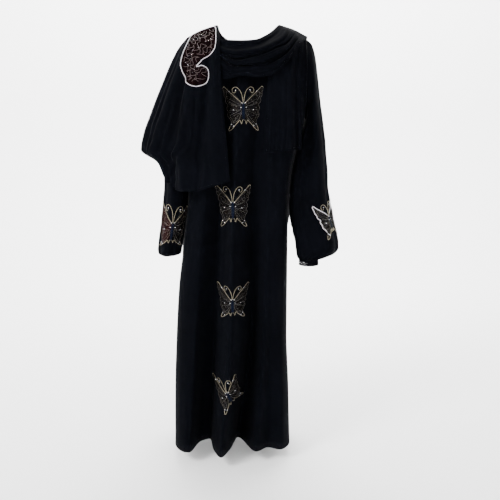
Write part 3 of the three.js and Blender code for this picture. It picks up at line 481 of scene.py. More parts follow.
@dataclass
class BroadEnd:
    """The broad end of the shawl layer, over the wearer's right shoulder and arm."""

    turn: float = 0.7
    chest_roundness: float = 0.75
    seed: int = 21

    def __post_init__(self) -> None:
        """Make its unevenness."""
        self.uneven = Unevenness(self.seed)

    def rise(self, u: Values, level: Values) -> Values:
        """How far the folds and the soft waves between them stand out."""
        total = np.zeros_like(u)
        for places, rises, width in BROAD_END_FOLDS:
            line = curve(BROAD_FOLD_LEVELS, places, level)
            line = line + 0.008 * self.uneven.at(level * 0.9 + 11, places[0] * 40)
            height = curve((0.4, *BROAD_FOLD_LEVELS[1:]), (0, *rises[1:]), level)
            total += height * bump(u - line, width)
        calm = smooth(0.6, 2.4, level) * (1 - bump(u - 1, 0.06))
        broad, fine = self.uneven.at(u * 13 + 5, level * 0.55 + 3), self.uneven.at(u * 34 + 7, level * 0.9)
        waves = 2.2 * broad + 0.4 * fine
        under_elbow = smooth(4.3, 5.2, level) * bump(u - 0.42, 0.22)
        slanted = self.uneven.at(u * 17 - level * 2.6 + 30, level * 0.7 + u * 5)
        return total + calm * waves + 4.5 * under_elbow * slanted

    def place(self, u: Values, level: Values) -> Values:
        """Point at u across and a section's level."""
        edge, out, back = BROAD_END.points(level, "edge", "out", "back")
        in_front = u < self.turn
        start = np.where(in_front[:, None], edge, back)
        quarter = np.where(in_front, u / self.turn, (1 - u) / (1 - self.turn))
        angle = np.clip(quarter, -0.02, 1) * math.pi / 2
        to_out = np.sin(angle)
        cosine = np.cos(angle)
        from_edge = np.where(in_front, cosine**self.chest_roundness, cosine)
        arch = np.where(in_front, YOKE_ARCH * np.sin(math.pi * to_out) * (1 - smooth(0, 1, level)), 0)
        x = blend(start[:, 0], out[:, 0], to_out)
        y = blend(out[:, 1], start[:, 1], from_edge)
        z = blend(start[:, 2], out[:, 2], to_out) + arch
        forward = np.where(in_front, -from_edge, from_edge)
        length = np.hypot(to_out, forward)
        rise = self.rise(u, level)
        return np.stack([x - rise * to_out / length, y + rise * forward / length, z], axis=1)

    def surface(self, u: Values, v: Values) -> Values:
        """Surface from the shoulder line (v = 0) to its hem (v = 1)."""
        return self.place(u, v * BROAD_END_HEM.read(u)["level"])


STRETCH = "u topX topY topZ midX midY midZ lowX lowY lowZ"
COWL = Table(STRETCH, [
    (0, -104, -72, -33, -104, -108, -88, -100, -128, -158),
    (0.18, -64, -100, -41, -62, -130, -92, -60, -142, -160),
    (0.36, -18, -108, -43, -16, -138, -92, -14, -146, -150),
    (0.52, 24, -104, -40, 30, -136, -90, 32, -146, -156),
    (0.66, 56, -82, -26, 74, -128, -78, 78, -140, -146),
    (0.8, 80, -52, -8, 112, -104, -50, 124, -124, -108),
    (0.92, 96, -22, 9, 138, -56, -12, 168, -76, -50),
    (1, 103, 4, 17, 149, 4, 2.5, 197, 4, -21),
])
BACK_STRETCH = Table(STRETCH, [
    (0.18, -150, 4, -4, -196, 110, -140, -214, 128, -405),
    (0.32, -99, 4.4, 15, -140, 124, -135, -140, 143, -412),
    (0.41, -88, 40, -22, -108, 128, -135, -96, 148, -404),
    (0.5, -62, 74, -40, -70, 131, -135, -50, 149, -388),
    (0.65, -2, 96, -40, 6, 132, -130, 46, 142, -318),
    (0.8, 62, 74, -16, 76, 120, -100, 122, 120, -214),
    (0.91, 92, 34, 8, 126, 82, -46, 170, 84, -108),
    (1, 103, 4.6, 17, 149, 4.6, 2.5, 197, 4.6, -21),
])
# Folds along a stretch: where each runs at five sections, its width, rise, and how far it hangs over.
FOLD_SECTIONS = (0.09, 0.3, 0.48, 0.68, 0.87)
COWL_FOLDS = (
    ((0.05, 0.05, 0.05, 0.05, 0.05), 0.07, 3, 0),
    ((0.14, 0.17, 0.15, 0.14, 0.16), 0.05, -2.5, 0),
    ((0.24, 0.33, 0.3, 0.27, 0.34), 0.1, 7, 4),
    ((0.35, 0.55, 0.465, 0.42, 0.6), 0.055, -7, 0),
    ((0.41, 0.63, 0.58, 0.56, 0.7), 0.09, 7, 5),
    ((0.47, 0.71, 0.7, 0.7, 0.8), 0.05, -6, 0),
    ((0.62, 0.84, 0.86, 0.86, 0.9), 0.11, 7.5, 5),
    ((0.78, 0.96, 0.97, 0.96, 0.97), 0.05, 2, 0),
)
BACK_STRETCH_FOLDS = (
    ((0.07,) * 5, 0.1, 3, 0), ((0.22,) * 5, 0.07, 3, 1), ((0.34,) * 5, 0.1, 6, 3), ((0.46,) * 5, 0.05, -4, 0),
    ((0.56,) * 5, 0.12, 8, 4), ((0.7,) * 5, 0.06, -4, 1), ((0.84,) * 5, 0.1, 6, 3),
)


@dataclass
class Stretch:
    """A stretch of the shawl layer between an upper and a lower edge, with folds along it."""

    sections: Table
    folds: Sequence[tuple[tuple[float, ...], float, float, float]]
    facing: int
    fade_in: float
    fade_out: float
    seed: int
    middle: float = 0.45

    def __post_init__(self) -> None:
        """Make its unevenness."""
        self.uneven = Unevenness(self.seed)

    def surface(self, u: Values, v: Values) -> Values:
        """Surface from the upper edge (v = 0) to the lower one (v = 1)."""
        top, mid, low = self.sections.points(np.clip(u, 0, 1), "top", "mid", "low")
        stations = (0, self.middle, 1)
        point = np.stack([
            curve(stations, np.stack([top[:, k], mid[:, k], low[:, k]]), v) for k in range(3)
        ], axis=1)
        present = smooth(0, self.fade_in, u) if self.fade_in else 1.0
        present = present * (1 - smooth(self.fade_out, 1, u))
        out, down = np.zeros_like(u), np.zeros_like(u)
        for places, width, rise, hang in self.folds:
            key = places[0] * 30
            line = curve(FOLD_SECTIONS, places, u) + 0.015 * self.uneven.at(u * 4 + key, key + 5.0) * present
            size = 1 + 0.3 * self.uneven.at(u * 3.5 + 20, key + 9.0)
            out += rise * size * bump(v - line, width)
            down += hang * size * bump(v - line - 0.35 * width, width * 0.9)
        ripple = 1.1 * self.uneven.at(v * 13 + 2, u * 3.2 + 8) + 0.6 * self.uneven.at(v * 5 + 40, u * 9 + 2)
        inside = bump(v - 0.5, 0.52)
        point[:, 1] += self.facing * (out + ripple * inside) * present
        point[:, 2] -= down * present * inside
        return point


NARROW_END = Table("z rightX rightY rightZ leftX leftY leftZ", [
    (0, 112, 2, 11, 184, 2, -20.8),
    (-40, 94, -74, -36, 176, -62, -60),
    (-90, 78, -108, -90, 168, -94, -104),
    (-160, 65, -128, -160, 168, -108, -164),
    (-260, 57, -136, -260, 171, -113, -262),
    (-385, 52, -142, -388, 173, -116, -378),
])
# Folds of the narrow end: place, width, rise at the top and at the hem.
NARROW_END_FOLDS = (
    (0.86, 0.1, -2, -12), (0.7, 0.12, 2, 4), (0.45, 0.2, -2, -4), (0.3, 0.08, 0, -1.5), (0.58, 0.08, 0, -2),
    (0.14, 0.08, 1, 2), (0.94, 0.05, 0, 2.5),
)


@dataclass
class NarrowEnd:
    """The narrow end of the shawl layer, which hangs from the wearer's left shoulder."""

    belly: float = 10.0
    seed: int = 33

    def __post_init__(self) -> None:
        """Make its unevenness."""
        self.uneven = Unevenness(self.seed)

    def surface(self, u: Values, v: Values) -> Values:
        """Surface from the shoulder (v = 0) to its hem (v = 1)."""
        right, left = NARROW_END.points(blend(0, -385, v), "right", "left")
        rise = np.zeros_like(u)
        for at, width, top, low in NARROW_END_FOLDS:
            line = at + 0.02 * self.uneven.at(v * 4 + at * 20, at * 31)
            rise += blend(top, low, v) * bump(u - line, width)
        rise += 1.3 * self.uneven.at(u * 5 + 3, v * 3 + 9) + 0.15 * self.uneven.at(u * 11 + 9, v * 5)
        rise *= smooth(0, 0.3, v)
        crown = np.sin(math.pi * np.clip(u, 0, 1))
        point = blend(right, left, u[:, None])
        point[:, 1] -= rise + self.belly * crown * smooth(0, 0.25, v)
        point[:, 2] += YOKE_ARCH * crown * (1 - smooth(0, 0.15, v))
        return point


# ---- materials ----


class Signal:
    """A number or colour on its way through a material; sums and products add Math nodes."""

    def __init__(self, shading: "Shading", socket: bpy.types.NodeSocket) -> None:
        """Wrap an output socket."""
        self.shading = shading
        self.socket = socket

    def _math(self, operation: str, first: "Signal | float", second: "Signal | float") -> "Signal":
        """Add one Math node."""
        node = self.shading.node("ShaderNodeMath", {"operation": operation}, {0: first, 1: second})
        return Signal(self.shading, node.outputs[0])

    def __add__(self, other: "Signal | float") -> "Signal":
        """Sum."""
        return self._math("ADD", self, other)

    def __mul__(self, other: "Signal | float") -> "Signal":
        """Product."""
        return self._math("MULTIPLY", self, other)

    def sine(self) -> "Signal":
        """Sine."""
        return self._math("SINE", self, 0.0)


class Shading:
    """A material of nodes around one Principled shader."""

    def __init__(self, name: str) -> None:
        """Start an empty material with its output."""
        self.material = bpy.data.materials.new(name)
        self.material.use_nodes = True
        self.tree = self.material.node_tree
        self.tree.nodes.clear()
        self.output = self.node("ShaderNodeOutputMaterial")

    def node(self, kind: str, settings: dict | None = None, inputs: dict | None = None) -> bpy.types.Node:
        """Add a node.

        Args:
            kind: the node's type.
            settings: its own settings; stops are a ramp's places and colours.
            inputs: values or links of its sockets, by name or number.

        Returns:
            The new node.
        """
        node = self.tree.nodes.new(kind)
        for name, value in (settings or {}).items():
            if name == "stops":
                elements = node.color_ramp.elements
                while len(elements) < len(value):
                    elements.new(0.5)
                for element, (place, colour) in zip(elements, value):
                    element.position, element.color = place, (*colour, 1.0)
            else:
                setattr(node, name, value)
        for name, value in (inputs or {}).items():
            if isinstance(value, Signal):
                self.tree.links.new(value.socket, node.inputs[name])
            else:
                node.inputs[name].default_value = value
        return node

    def signal(
        self, kind: str, out: str | int = 0, settings: dict | None = None, inputs: dict | None = None
    ) -> Signal:
        """Add a node and wrap one of its outputs."""
        return Signal(self, self.node(kind, settings, inputs).outputs[out])

    def place(self, scale: tuple[float, float, float] = (1, 1, 1), uv: bool = False) -> Signal:
        """Object coordinates, or the piece's own UV, under a scale."""
        start = self.signal("ShaderNodeTexCoord", "UV" if uv else "Object")
        return self.signal("ShaderNodeMapping", 0, None, {"Vector": start, "Scale": scale})

    def axes(self, vector: Signal) -> list[Signal]:
        """X, Y and Z of a vector."""
        node = self.node("ShaderNodeSeparateXYZ", None, {0: vector})
        return [Signal(self, node.outputs[k]) for k in range(3)]

    def noise(self, vector: Signal, scale: float, detail: float = 2.0, rough: float = 0.5) -> Signal:
        """Noise between 0 and 1."""
        inputs = {"Vector": vector, "Scale": scale, "Detail": detail, "Roughness": rough}
        return self.signal("ShaderNodeTexNoise", 0, None, inputs)

    def ramp(self, value: Signal, stops: Sequence[tuple[float, tuple[float, float, float]]]) -> Signal:
        """Colours along a value."""
        return self.signal("ShaderNodeValToRGB", 0, {"stops": stops}, {0: value})

    def spread(self, value: Signal, low: float, high: float, to_low: float, to_high: float) -> Signal:
        """Map one range onto another, held at its ends."""
        inputs = {"From Min": low, "From Max": high, "To Min": to_low, "To Max": to_high}
        return self.signal("ShaderNodeMapRange", 0, {"clamp": True}, {"Value": value, **inputs})

    def mix(self, share: Signal | float, first: Signal, second: Signal) -> Signal:
        """Mix two colours."""
        settings = {"data_type": "RGBA"}
        return self.signal("ShaderNodeMix", 2, settings, {0: share, 6: first, 7: second})

    def bumped(self, height: Signal, distance: float, strength: float = 1.0) -> Signal:
        """Normal from a height."""
        inputs = {"Height": height, "Distance": distance, "Strength": strength}
        return self.signal("ShaderNodeBump", 0, None, inputs)

    def finish(self, inputs: dict) -> bpy.types.Material:
        """Close the material with its shader."""
        shader = self.signal("ShaderNodeBsdfPrincipled", 0, None, inputs)
        self.tree.links.new(shader.socket, self.output.inputs["Surface"])
        return self.material


@dataclass(frozen=True)
class Crepe:
    """Matt blue-black crepe: a pebbled grain, a faint weave, and a lighter band along the hem, painted light
    that stands in for light shining through the thin cloth there.
    """

    name: str = "pebbled_crepe"
    dark: tuple[float, float, float] = (0.00045, 0.0006, 0.0011)
    light: tuple[float, float, float] = (0.0014, 0.00175, 0.0031)
    # colour of the painted glow of light through the cloth along the hem
    hem_glow: tuple[float, float, float] = (0.006, 0.0063, 0.008)
    grain: float = 620.0
    thread: float = 2600.0

    def make(self) -> bpy.types.Material:
        """Build the material."""
        s = Shading(self.name)
        place = s.place()
        pebble = s.noise(place, self.grain, 3.0, 0.62)
        cockle = s.noise(place, 46.0, 2.0)
        cloud = s.noise(place, 7.0, 3.0)
        u, v, _ = s.axes(s.place(uv=True))
        weave = (u * self.thread).sine() * (v * self.thread).sine()
        tone = s.ramp(pebble * 0.55 + cloud * 0.45, [(0.3, self.dark), (0.72, self.light)])
        z = s.axes(place)[2]
        # painted light: over the lowest 40 mm the colour turns towards the hem glow, standing in for light
        # shining through the cloth
        low = s.spread(z, -1.432, -1.392, 1.0, 0.0)
        colour = s.mix(low * 0.8, tone, s.ramp(cloud, [(0.0, self.hem_glow), (1.0, self.hem_glow)]))
        height = pebble * 0.75 + weave * 0.12 + cockle * 2.6
        return s.finish({
            "Base Color": colour,
            "Roughness": s.spread(pebble, 0.2, 0.8, 0.78, 0.95),
            "Specular IOR Level": 0.02,
            "Sheen Weight": 0.004,
            "Sheen Roughness": 0.45,
            "Normal": s.bumped(height, 0.00034, 0.8),
        })


@dataclass(frozen=True)
class Organza:
    """Sheer applique cloth with a fine open weave, flecked with threads of several colours."""

    name: str
    dark: tuple[float, float, float]
    light: tuple[float, float, float]
    flecks: tuple[tuple[float, float, float], ...] = ((0.018, 0.0125, 0.0085), (0.01, 0.009, 0.016))
    hatch: float = 1500.0
    clear: float = 0.7
    metallic: float = 0.2
    specular: float = 0.02
    rough: float = 0.5

    def make(self) -> bpy.types.Material:
        """Build the material."""
        s = Shading(self.name)
        u, v, _ = s.axes(s.place(uv=True))
        place = s.place()
        wander = s.noise(place, 34.0, 2.0)
        line = ((u * 0.8 + v * 0.6) * self.hatch + wander * 22.0).sine()
        mesh = (u * 3100.0).sine() * (v * 3100.0).sine()
        fleck = s.noise(place, 330.0, 3.0, 0.7)
        patch = s.noise(place, 60.0, 2.0)
        tone = s.ramp(fleck * 0.8 + line * 0.06 + 0.1, [(0.36, self.dark), (0.62, self.light)])
        hue = s.ramp(patch, [(0.35, self.flecks[0]), (0.5, self.light), (0.65, self.flecks[1])])
        return s.finish({
            "Base Color": s.mix(s.spread(fleck, 0.46, 0.6, 0.0, 0.75), tone, hue),
            "Roughness": s.spread(line, -1.0, 1.0, self.rough - 0.12, self.rough + 0.12),
            "Metallic": s.spread(fleck, 0.45, 0.7, 0.0, self.metallic),
            "Specular IOR Level": self.specular,
            "Alpha": s.spread(mesh + patch, -0.2, 1.1, self.clear, 1.0),
            "Normal": s.bumped(line * 0.6 + mesh * 0.3 + fleck, 0.00022, 0.9),
        })


@dataclass(frozen=True)
class MetalThread:
    """Couched metal cord: strands twisted round each other, with painted highlights on their crowns and
    painted shade between them.
    """

    name: str
    dark: tuple[float, float, float]
    light: tuple[float, float, float]
    twist: float = 2300.0
    metallic: float = 0.8
    specular: float = 0.5

    def make(self) -> bpy.types.Material:
        """Build the material."""
        s = Shading(self.name)
        u, v, _ = s.axes(s.place(uv=True))
        strand = (u * self.twist + v * (4 * math.pi)).sine()
        worn = s.noise(s.place(), 160.0, 2.0)
        return s.finish({
            # the strand profile lightens the colour on the crowns and darkens it between strands: painted
            # highlight and painted shade
            "Base Color": s.ramp(strand * 0.3 + worn * 0.9, [(0.15, self.dark), (0.8, self.light)]),
            "Metallic": self.metallic,
            "Specular IOR Level": self.specular,
            "Roughness": s.spread(worn, 0.3, 0.7, 0.26, 0.5),
            "Normal": s.bumped(strand, 0.00025, 0.9),
        })


@dataclass(frozen=True)
class Bead:
    """Bright small beads and sequins."""

    name: str
    dark: tuple[float, float, float]
    light: tuple[float, float, float]
    rough: float = 0.16

    def make(self) -> bpy.types.Material:
        """Build the material."""
        s = Shading(self.name)
        spot = s.noise(s.place(), 420.0, 1.0)
        return s.finish({
            "Base Color": s.ramp(spot, [(0.3, self.dark), (0.7, self.light)]),
            "Metallic": 0.75,
            "Roughness": s.spread(spot, 0.3, 0.7, self.rough, self.rough + 0.14),
            "Coat Weight": 0.6,
            "Coat Roughness": 0.06,
            "Normal": s.bumped(spot, 0.00012, 0.5),
        })


@dataclass(frozen=True)
class StudioFloor:
    """Pale seamless paper."""

    name: str = "studio_paper"
    colour: tuple[float, float, float] = (0.86, 0.86, 0.86)

    def make(self) -> bpy.types.Material:
        """Build the material."""
        s = Shading(self.name)
        tooth = s.noise(s.place(), 240.0, 2.0)
        pale = tuple(min(1.0, c * 1.02) for c in self.colour)
        return s.finish({
            "Base Color": s.ramp(tooth, [(0.3, self.colour), (0.7, pale)]),
            "Roughness": 0.9,
            "Specular IOR Level": 0.1,
        })


class Finish(Enum):
    """The finishes of the abaya and where it stands."""

    CREPE = Crepe()
    SMOKE = Organza("smoke_organza", (0.0018, 0.0018, 0.0022), (0.0095, 0.009, 0.0084))
    RUSSET = Organza(
        "russet_organza", (0.005, 0.0018, 0.002), (0.02, 0.007, 0.0065),
        ((0.028, 0.009, 0.0075), (0.014, 0.0075, 0.014)),
    )
    MULBERRY = Organza(
        "mulberry_ground", (0.0014, 0.0008, 0.0009), (0.0052, 0.0021, 0.0023),
        ((0.008, 0.003, 0.0028), (0.0045, 0.003, 0.0055)),
        clear=0.96, metallic=0.0, specular=0.0,
    )
    SATIN = Organza(
        "midnight_satin", (0.0015, 0.0022, 0.005), (0.004, 0.0065, 0.017),
        ((0.004, 0.007, 0.016), (0.008, 0.012, 0.03)),
        hatch=2600.0, clear=1.0, rough=0.38,
    )
    GOLD = MetalThread("pale_gold_cord", (0.1, 0.085, 0.055), (0.46, 0.41, 0.29), metallic=0.55, specular=0.3)
    DULL_GOLD = MetalThread(
        "dull_gold_thread", (0.015, 0.0135, 0.011), (0.08, 0.07, 0.056), metallic=0.4, specular=0.2
    )
    SILVER = MetalThread("lilac_silver_cord", (0.5, 0.47, 0.52), (0.95, 0.91, 0.96), metallic=0.35)
    ROSE = MetalThread(
        "rose_silver_thread", (0.02, 0.014, 0.014), (0.17, 0.13, 0.13), metallic=0.4, specular=0.15
    )
    CLEAR_BEAD = Bead("clear_bead", (0.6, 0.62, 0.65), (0.98, 0.98, 1.0), 0.08)
    SILVER_BEAD = Bead("silver_bead", (0.4, 0.4, 0.42), (0.88, 0.88, 0.9))
    FLECK = Bead("smoke_sequin", (0.03, 0.025, 0.035), (0.16, 0.14, 0.11), 0.3)
    BLACK_THREAD = MetalThread(
        "black_thread", (0.0008, 0.0009, 0.0015), (0.003, 0.0033, 0.005), metallic=0.0, specular=0.04
    )
    FLOOR = StudioFloor()

    def material(self) -> bpy.types.Material:
        """The material, made at its first use."""
        return bpy.data.materials.get(self.value.name) or self.value.make()


# ---- making pieces ----


def to_object(name: str, bm: bmesh.types.BMesh, finish: Finish) -> bpy.types.Object:
    """Turn a bmesh into an object at the origin.

    Args:
        name: the object's name.
        bm: its shape, in metres; it is freed.
        finish: its finish.

    Returns:
        The object, shaded smooth and linked to the scene.
    """
    mesh = bpy.data.meshes.new(name)
    bm.to_mesh(mesh)
    bm.free()
    mesh.materials.append(finish.material())
    mesh.polygons.foreach_set("use_smooth", [True] * len(mesh.polygons))
    made = bpy.data.objects.new(name, mesh)
    bpy.context.scene.collection.objects.link(made)
    return made


def grid_places(count_u: int, count_v: int) -> tuple[bmesh.types.BMesh, Values, Values]:
    """A flat grid with a UV map, and where each of its vertices lies across and down it."""
    bm = bmesh.new()
    bm.loops.layers.uv.new("UVMap")
    bmesh.ops.create_grid(bm, x_segments=count_u, y_segments=count_v, size=0.5, calc_uvs=True)
    bm.verts.ensure_lookup_table()
    flat = np.array([vert.co[:2] for vert in bm.verts])
    return bm, flat[:, 0] + 0.5, flat[:, 1] + 0.5


def move_to(verts: Sequence[bmesh.types.BMVert], points: Values) -> None:
    """Move vertices to points given in millimetres."""
    for vert, point in zip(verts, points * MM):
        vert.co = point


def scale_uv(bm: bmesh.types.BMesh, width: float, length: float) -> None:
    """Give the UV map its real size in metres."""
    layer = bm.loops.layers.uv.active
    for face in bm.faces:
        for loop in face.loops:
            uv = loop[layer].uv
            uv.x, uv.y = uv.x * width, uv.y * length


@dataclass
class Cloth:
    """A piece of cloth on a surface.

    Args:
        name: the piece's name.
        node: the solid that it stands for.
        surface: where it lies.
        side: 1 or -1, so that the faces point out.
        columns: places across the surface that the grid runs between, and its columns.
        rows: how many rows the grid has.
        cut: width and length that it was cut to, in metres.
        cut_area: area of the cut, where it isn't a rectangle; not used.
        held: how it is held; not used.
        rests_on: what it lies on; not used.
        looped: whether its first and last columns meet.
        thickness: thickness of the cloth, in millimetres.
    """

    name: str
    node: str
    surface: Surface
    side: int
    columns: tuple[float, float, int]
    rows: int
    cut: tuple[float, float]
    cut_area: float
    held: str
    rests_on: tuple[str, ...]
    looped: bool = False
    thickness: float = 0.9

    def make(self) -> bpy.types.Object:
        first, last, count = self.columns
        bm, across, v = grid_places(count, self.rows)
        move_to(bm.verts, self.surface(blend(first, last, across), v))
        scale_uv(bm, *self.cut)
        if self.looped:
            bmesh.ops.remove_doubles(bm, verts=bm.verts, dist=1e-6)
        if self.side > 0:
            bmesh.ops.reverse_faces(bm, faces=bm.faces)
        made = to_object(self.name, bm, Finish.CREPE)
        wall = made.modifiers.new("cloth", "SOLIDIFY")
        wall.thickness, wall.offset, wall.use_rim = self.thickness * MM, -1.0, True
        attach(made, BODY)
        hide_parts(self.node)
        return made

    def declare(self, made: bpy.types.Object, with_pieces: Sequence[bpy.types.Object]) -> None:
        """Does nothing: the piece and the hems and threads on it are left as they are."""


class Cords:
    """Threads, cords, beads and sequins of one finish, gathered into one piece."""

    def __init__(self, name: str, finish: Finish, slot: str) -> None:
        """Start empty."""
        self.name, self.finish, self.slot = name, finish, slot
        self.batches: list[bpy.types.Mesh] = []
        self.start()

    def start(self) -> None:
        """Start a new batch, which keeps bmesh quick where there are many small shapes."""
        self.bm = bmesh.new()
        self.uv = self.bm.loops.layers.uv.new("UVMap")

    def close_batch(self, most: int = 900) -> None:
        """Put a full batch away."""
        if len(self.bm.verts) > most:
            self.batches.append(bpy.data.meshes.new(f"{self.name}_{len(self.batches)}"))
            self.bm.to_mesh(self.batches[-1])
            self.bm.free()
            self.start()

    def tube(self, points: Values, normals: Values, radius: float | Values, sides: int = 6) -> None:
        """Add a cord along points, on the side of the normals."""
        self.close_batch()
        count = len(points)
        along = np.gradient(points, axis=0)
        along /= np.maximum(np.linalg.norm(along, axis=1, keepdims=True), 1e-9)
        across = np.cross(along, normals)
        across /= np.maximum(np.linalg.norm(across, axis=1, keepdims=True), 1e-9)
        up = np.cross(across, along)
        thick = np.broadcast_to(radius, (count,)).astype(float).copy()
        thick[0], thick[-1] = thick[0] * 0.25, thick[-1] * 0.25
        grid = bmesh.ops.create_grid(self.bm, x_segments=count - 1, y_segments=sides, size=0.5, calc_uvs=True)
        verts = grid["verts"]
        flat = np.array([vert.co[:2] for vert in verts]) + 0.5
        i = np.rint(flat[:, 0] * (count - 1)).astype(int)
        angle = flat[:, 1] * 2 * math.pi
        ring = across[i] * np.cos(angle)[:, None] + up[i] * np.sin(angle)[:, None]
        move_to(verts, points[i] + ring * thick[i][:, None])
        length = float(np.linalg.norm(np.diff(points, axis=0), axis=1).sum()) * MM
        for face in {face for vert in verts for face in vert.link_faces}:
            for loop in face.loops:
                loop[self.uv].uv.x *= length
        bmesh.ops.remove_doubles(self.bm, verts=verts, dist=1e-7)

    def bead(self, point: Values, radius: float) -> None:
        """Add a round bead."""
        self.close_batch()
        place = Matrix.Translation(Vector(point * MM))
        bmesh.ops.create_uvsphere(self.bm, u_segments=8, v_segments=5, radius=radius * MM, matrix=place)

    def sequin(self, point: Values, normal: Values, radius: float) -> None:
        """Add a small cupped disc that lies on the cloth."""
        self.close_batch()
        turn = Vector(normal).to_track_quat("Z", "Y").to_matrix().to_4x4()
        place = Matrix.Translation(Vector(point * MM)) @ turn
        disc = bmesh.ops.create_cone(
            self.bm, cap_ends=True, cap_tris=True, segments=8, radius1=radius * MM,
            radius2=radius * 0.45 * MM, depth=0.5 * MM, matrix=place,
        )
        bmesh.ops.recalc_face_normals(self.bm, faces=list({f for v in disc["verts"] for f in v.link_faces}))

    def make(self) -> bpy.types.Object:
        """Build the piece."""
        for batch in self.batches:
            self.bm.from_mesh(batch)
            bpy.data.meshes.remove(batch)
        bmesh.ops.recalc_face_normals(self.bm, faces=self.bm.faces)
        made = to_object(self.name, self.bm, self.finish)
        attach(made, BODY)
        return made


def rounded(points: Sequence[tuple[float, float]], closed: bool, step: float = 1.6) -> Values:
    """Smooth line through points of a drawing, at even steps.

    Args:
        points: the points, in millimetres.
        closed: whether the line closes on itself.
        step: distance between its new points.

    Returns:
        The new points, with the first one again at the end of a closed line.
    """
    p = np.array(points, float)
    p = np.vstack([p[-1], p, p[0], p[1]]) if closed else np.vstack([2 * p[0] - p[1], p, 2 * p[-1] - p[-2]])
    t = np.linspace(0, 1, 13)[:-1, None]
    parts = [
        0.5 * (2 * b + (c - a) * t + (2 * a - 5 * b + 4 * c - d) * t**2 + (3 * b - a - 3 * c + d) * t**3)
        for a, b, c, d in zip(p[:-3], p[1:-2], p[2:-1], p[3:])
    ]
    line = np.vstack([*parts, p[-2:-1]])
    run = np.concatenate([[0], np.cumsum(np.linalg.norm(np.diff(line, axis=0), axis=1))])
    even = np.linspace(0, run[-1], max(4, int(run[-1] / step)))
    return np.stack([np.interp(even, run, line[:, k]) for k in (0, 1)], axis=1)


def is_inside(points: Values, outline: Values) -> Values:
    """Whether each point lies inside a closed outline."""
    x, y = points[:, :1], points[:, 1:]
    ax, ay, bx, by = outline[:-1, 0], outline[:-1, 1], outline[1:, 0], outline[1:, 1]
    crosses = (ay > y) != (by > y)
    reach = ax + (y - ay) * (bx - ax) / np.where(by == ay, 1e-9, by - ay)
    return np.sum(crosses & (x < reach), axis=1) % 2 == 1


@dataclass
class Ground:
    """Where a motif is embroidered: maps its drawing in millimetres to a surface.

    Args:
        surface: the cloth under it.
        side: 1 or -1, as the cloth's.
        locate: turns drawing points into u and v of the surface.
    """

    surface: Surface
    side: int
    locate: Callable[[Values], tuple[Values, Values]]

    def lifted(self, drawing: Values, lift: float) -> tuple[Values, Values]:
        """Points over the cloth and their normals."""
        u, v = self.locate(drawing)
        normals = normals_of(self.surface, u, v, self.side)
        return self.surface(u, v) + normals * lift, normals

    def patch(self, name: str, outline: Values, lift: float, finish: Finish, step: float) -> bpy.types.Object:
        """A thin patch of applique cloth inside an outline.

        Args:
            name: the piece's name.
            outline: closed outline in the drawing.
            lift: height over the cloth.
            finish: its finish.
            step: spacing of its grid.

        Returns:
            The patch.
        """
        bm = bmesh.new()
        self.add_patch(bm, outline, lift, step)
        return self.close_patch(name, bm, finish)

    def add_patch(self, bm: bmesh.types.BMesh, outline: Values, lift: float, step: float) -> None:
        """Add the grid of one outline to a patch."""
        if not bm.loops.layers.uv:
            bm.loops.layers.uv.new("UVMap")
        low, high = outline.min(axis=0) - step, outline.max(axis=0) + step
        counts = np.maximum(2, ((high - low) / step).astype(int))
        made = bmesh.ops.create_grid(
            bm, x_segments=int(counts[0]), y_segments=int(counts[1]), size=0.5, calc_uvs=True
        )["verts"]
        flat = np.array([vert.co[:2] for vert in made]) + 0.5
        drawing = low + flat * (high - low)
        keep = is_inside(drawing, outline)
        bmesh.ops.delete(bm, geom=[v for v, k in zip(made, keep) if not k], context="VERTS")
        kept = [v for v, k in zip(made, keep) if k]
        drawing = drawing[keep]
        for n, vert in enumerate(kept):
            if vert.is_boundary or vert.is_wire:
                gap = np.linalg.norm(outline - drawing[n], axis=1)
                drawing[n] = outline[int(np.argmin(gap))]
        bmesh.ops.delete(bm, geom=[v for v in kept if not v.link_faces], context="VERTS")
        alive = np.array([v.is_valid for v in kept])
        drawing = drawing[alive]
        live = [v for v in kept if v.is_valid]
        move_to(live, self.lifted(drawing, lift)[0])
        layer = bm.loops.layers.uv.active
        bm.verts.index_update()
        where = {v.index: drawing[n] * MM for n, v in enumerate(live)}
        for face in {f for v in live for f in v.link_faces}:
            for loop in face.loops:
                loop[layer].uv = where[loop.vert.index]

    def close_patch(self, name: str, bm: bmesh.types.BMesh, finish: Finish) -> bpy.types.Object:
        """Turn a patch's faces out and give it its thickness."""
        bm.normal_update()
        if self.side > 0:
            bmesh.ops.reverse_faces(bm, faces=bm.faces)
        made = to_object(name, bm, finish)
        wall = made.modifiers.new("cloth", "SOLIDIFY")
        wall.thickness, wall.offset = 0.25 * MM, 1.0
        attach(made, BODY)
        return made

    def couch(
        self, cords: Cords, lines: Sequence[Values], lift: float, radius: float, sides: int = 6
    ) -> None:
        """Couch a cord along each line of the drawing."""
        points, normals = self.lifted(np.vstack(lines), lift)
        ends = np.cumsum([len(line) for line in lines])[:-1]
        for path, up in zip(np.split(points, ends), np.split(normals, ends)):
            cords.tube(path, up, radius, sides)

    def beads(self, cords: Cords, drawing: Values, lift: float, radius: float) -> None:
        """Sew beads at points of the drawing."""
        for point in self.lifted(drawing, lift)[0]:
            cords.bead(point, radius)


# ---- the cloth pieces ----


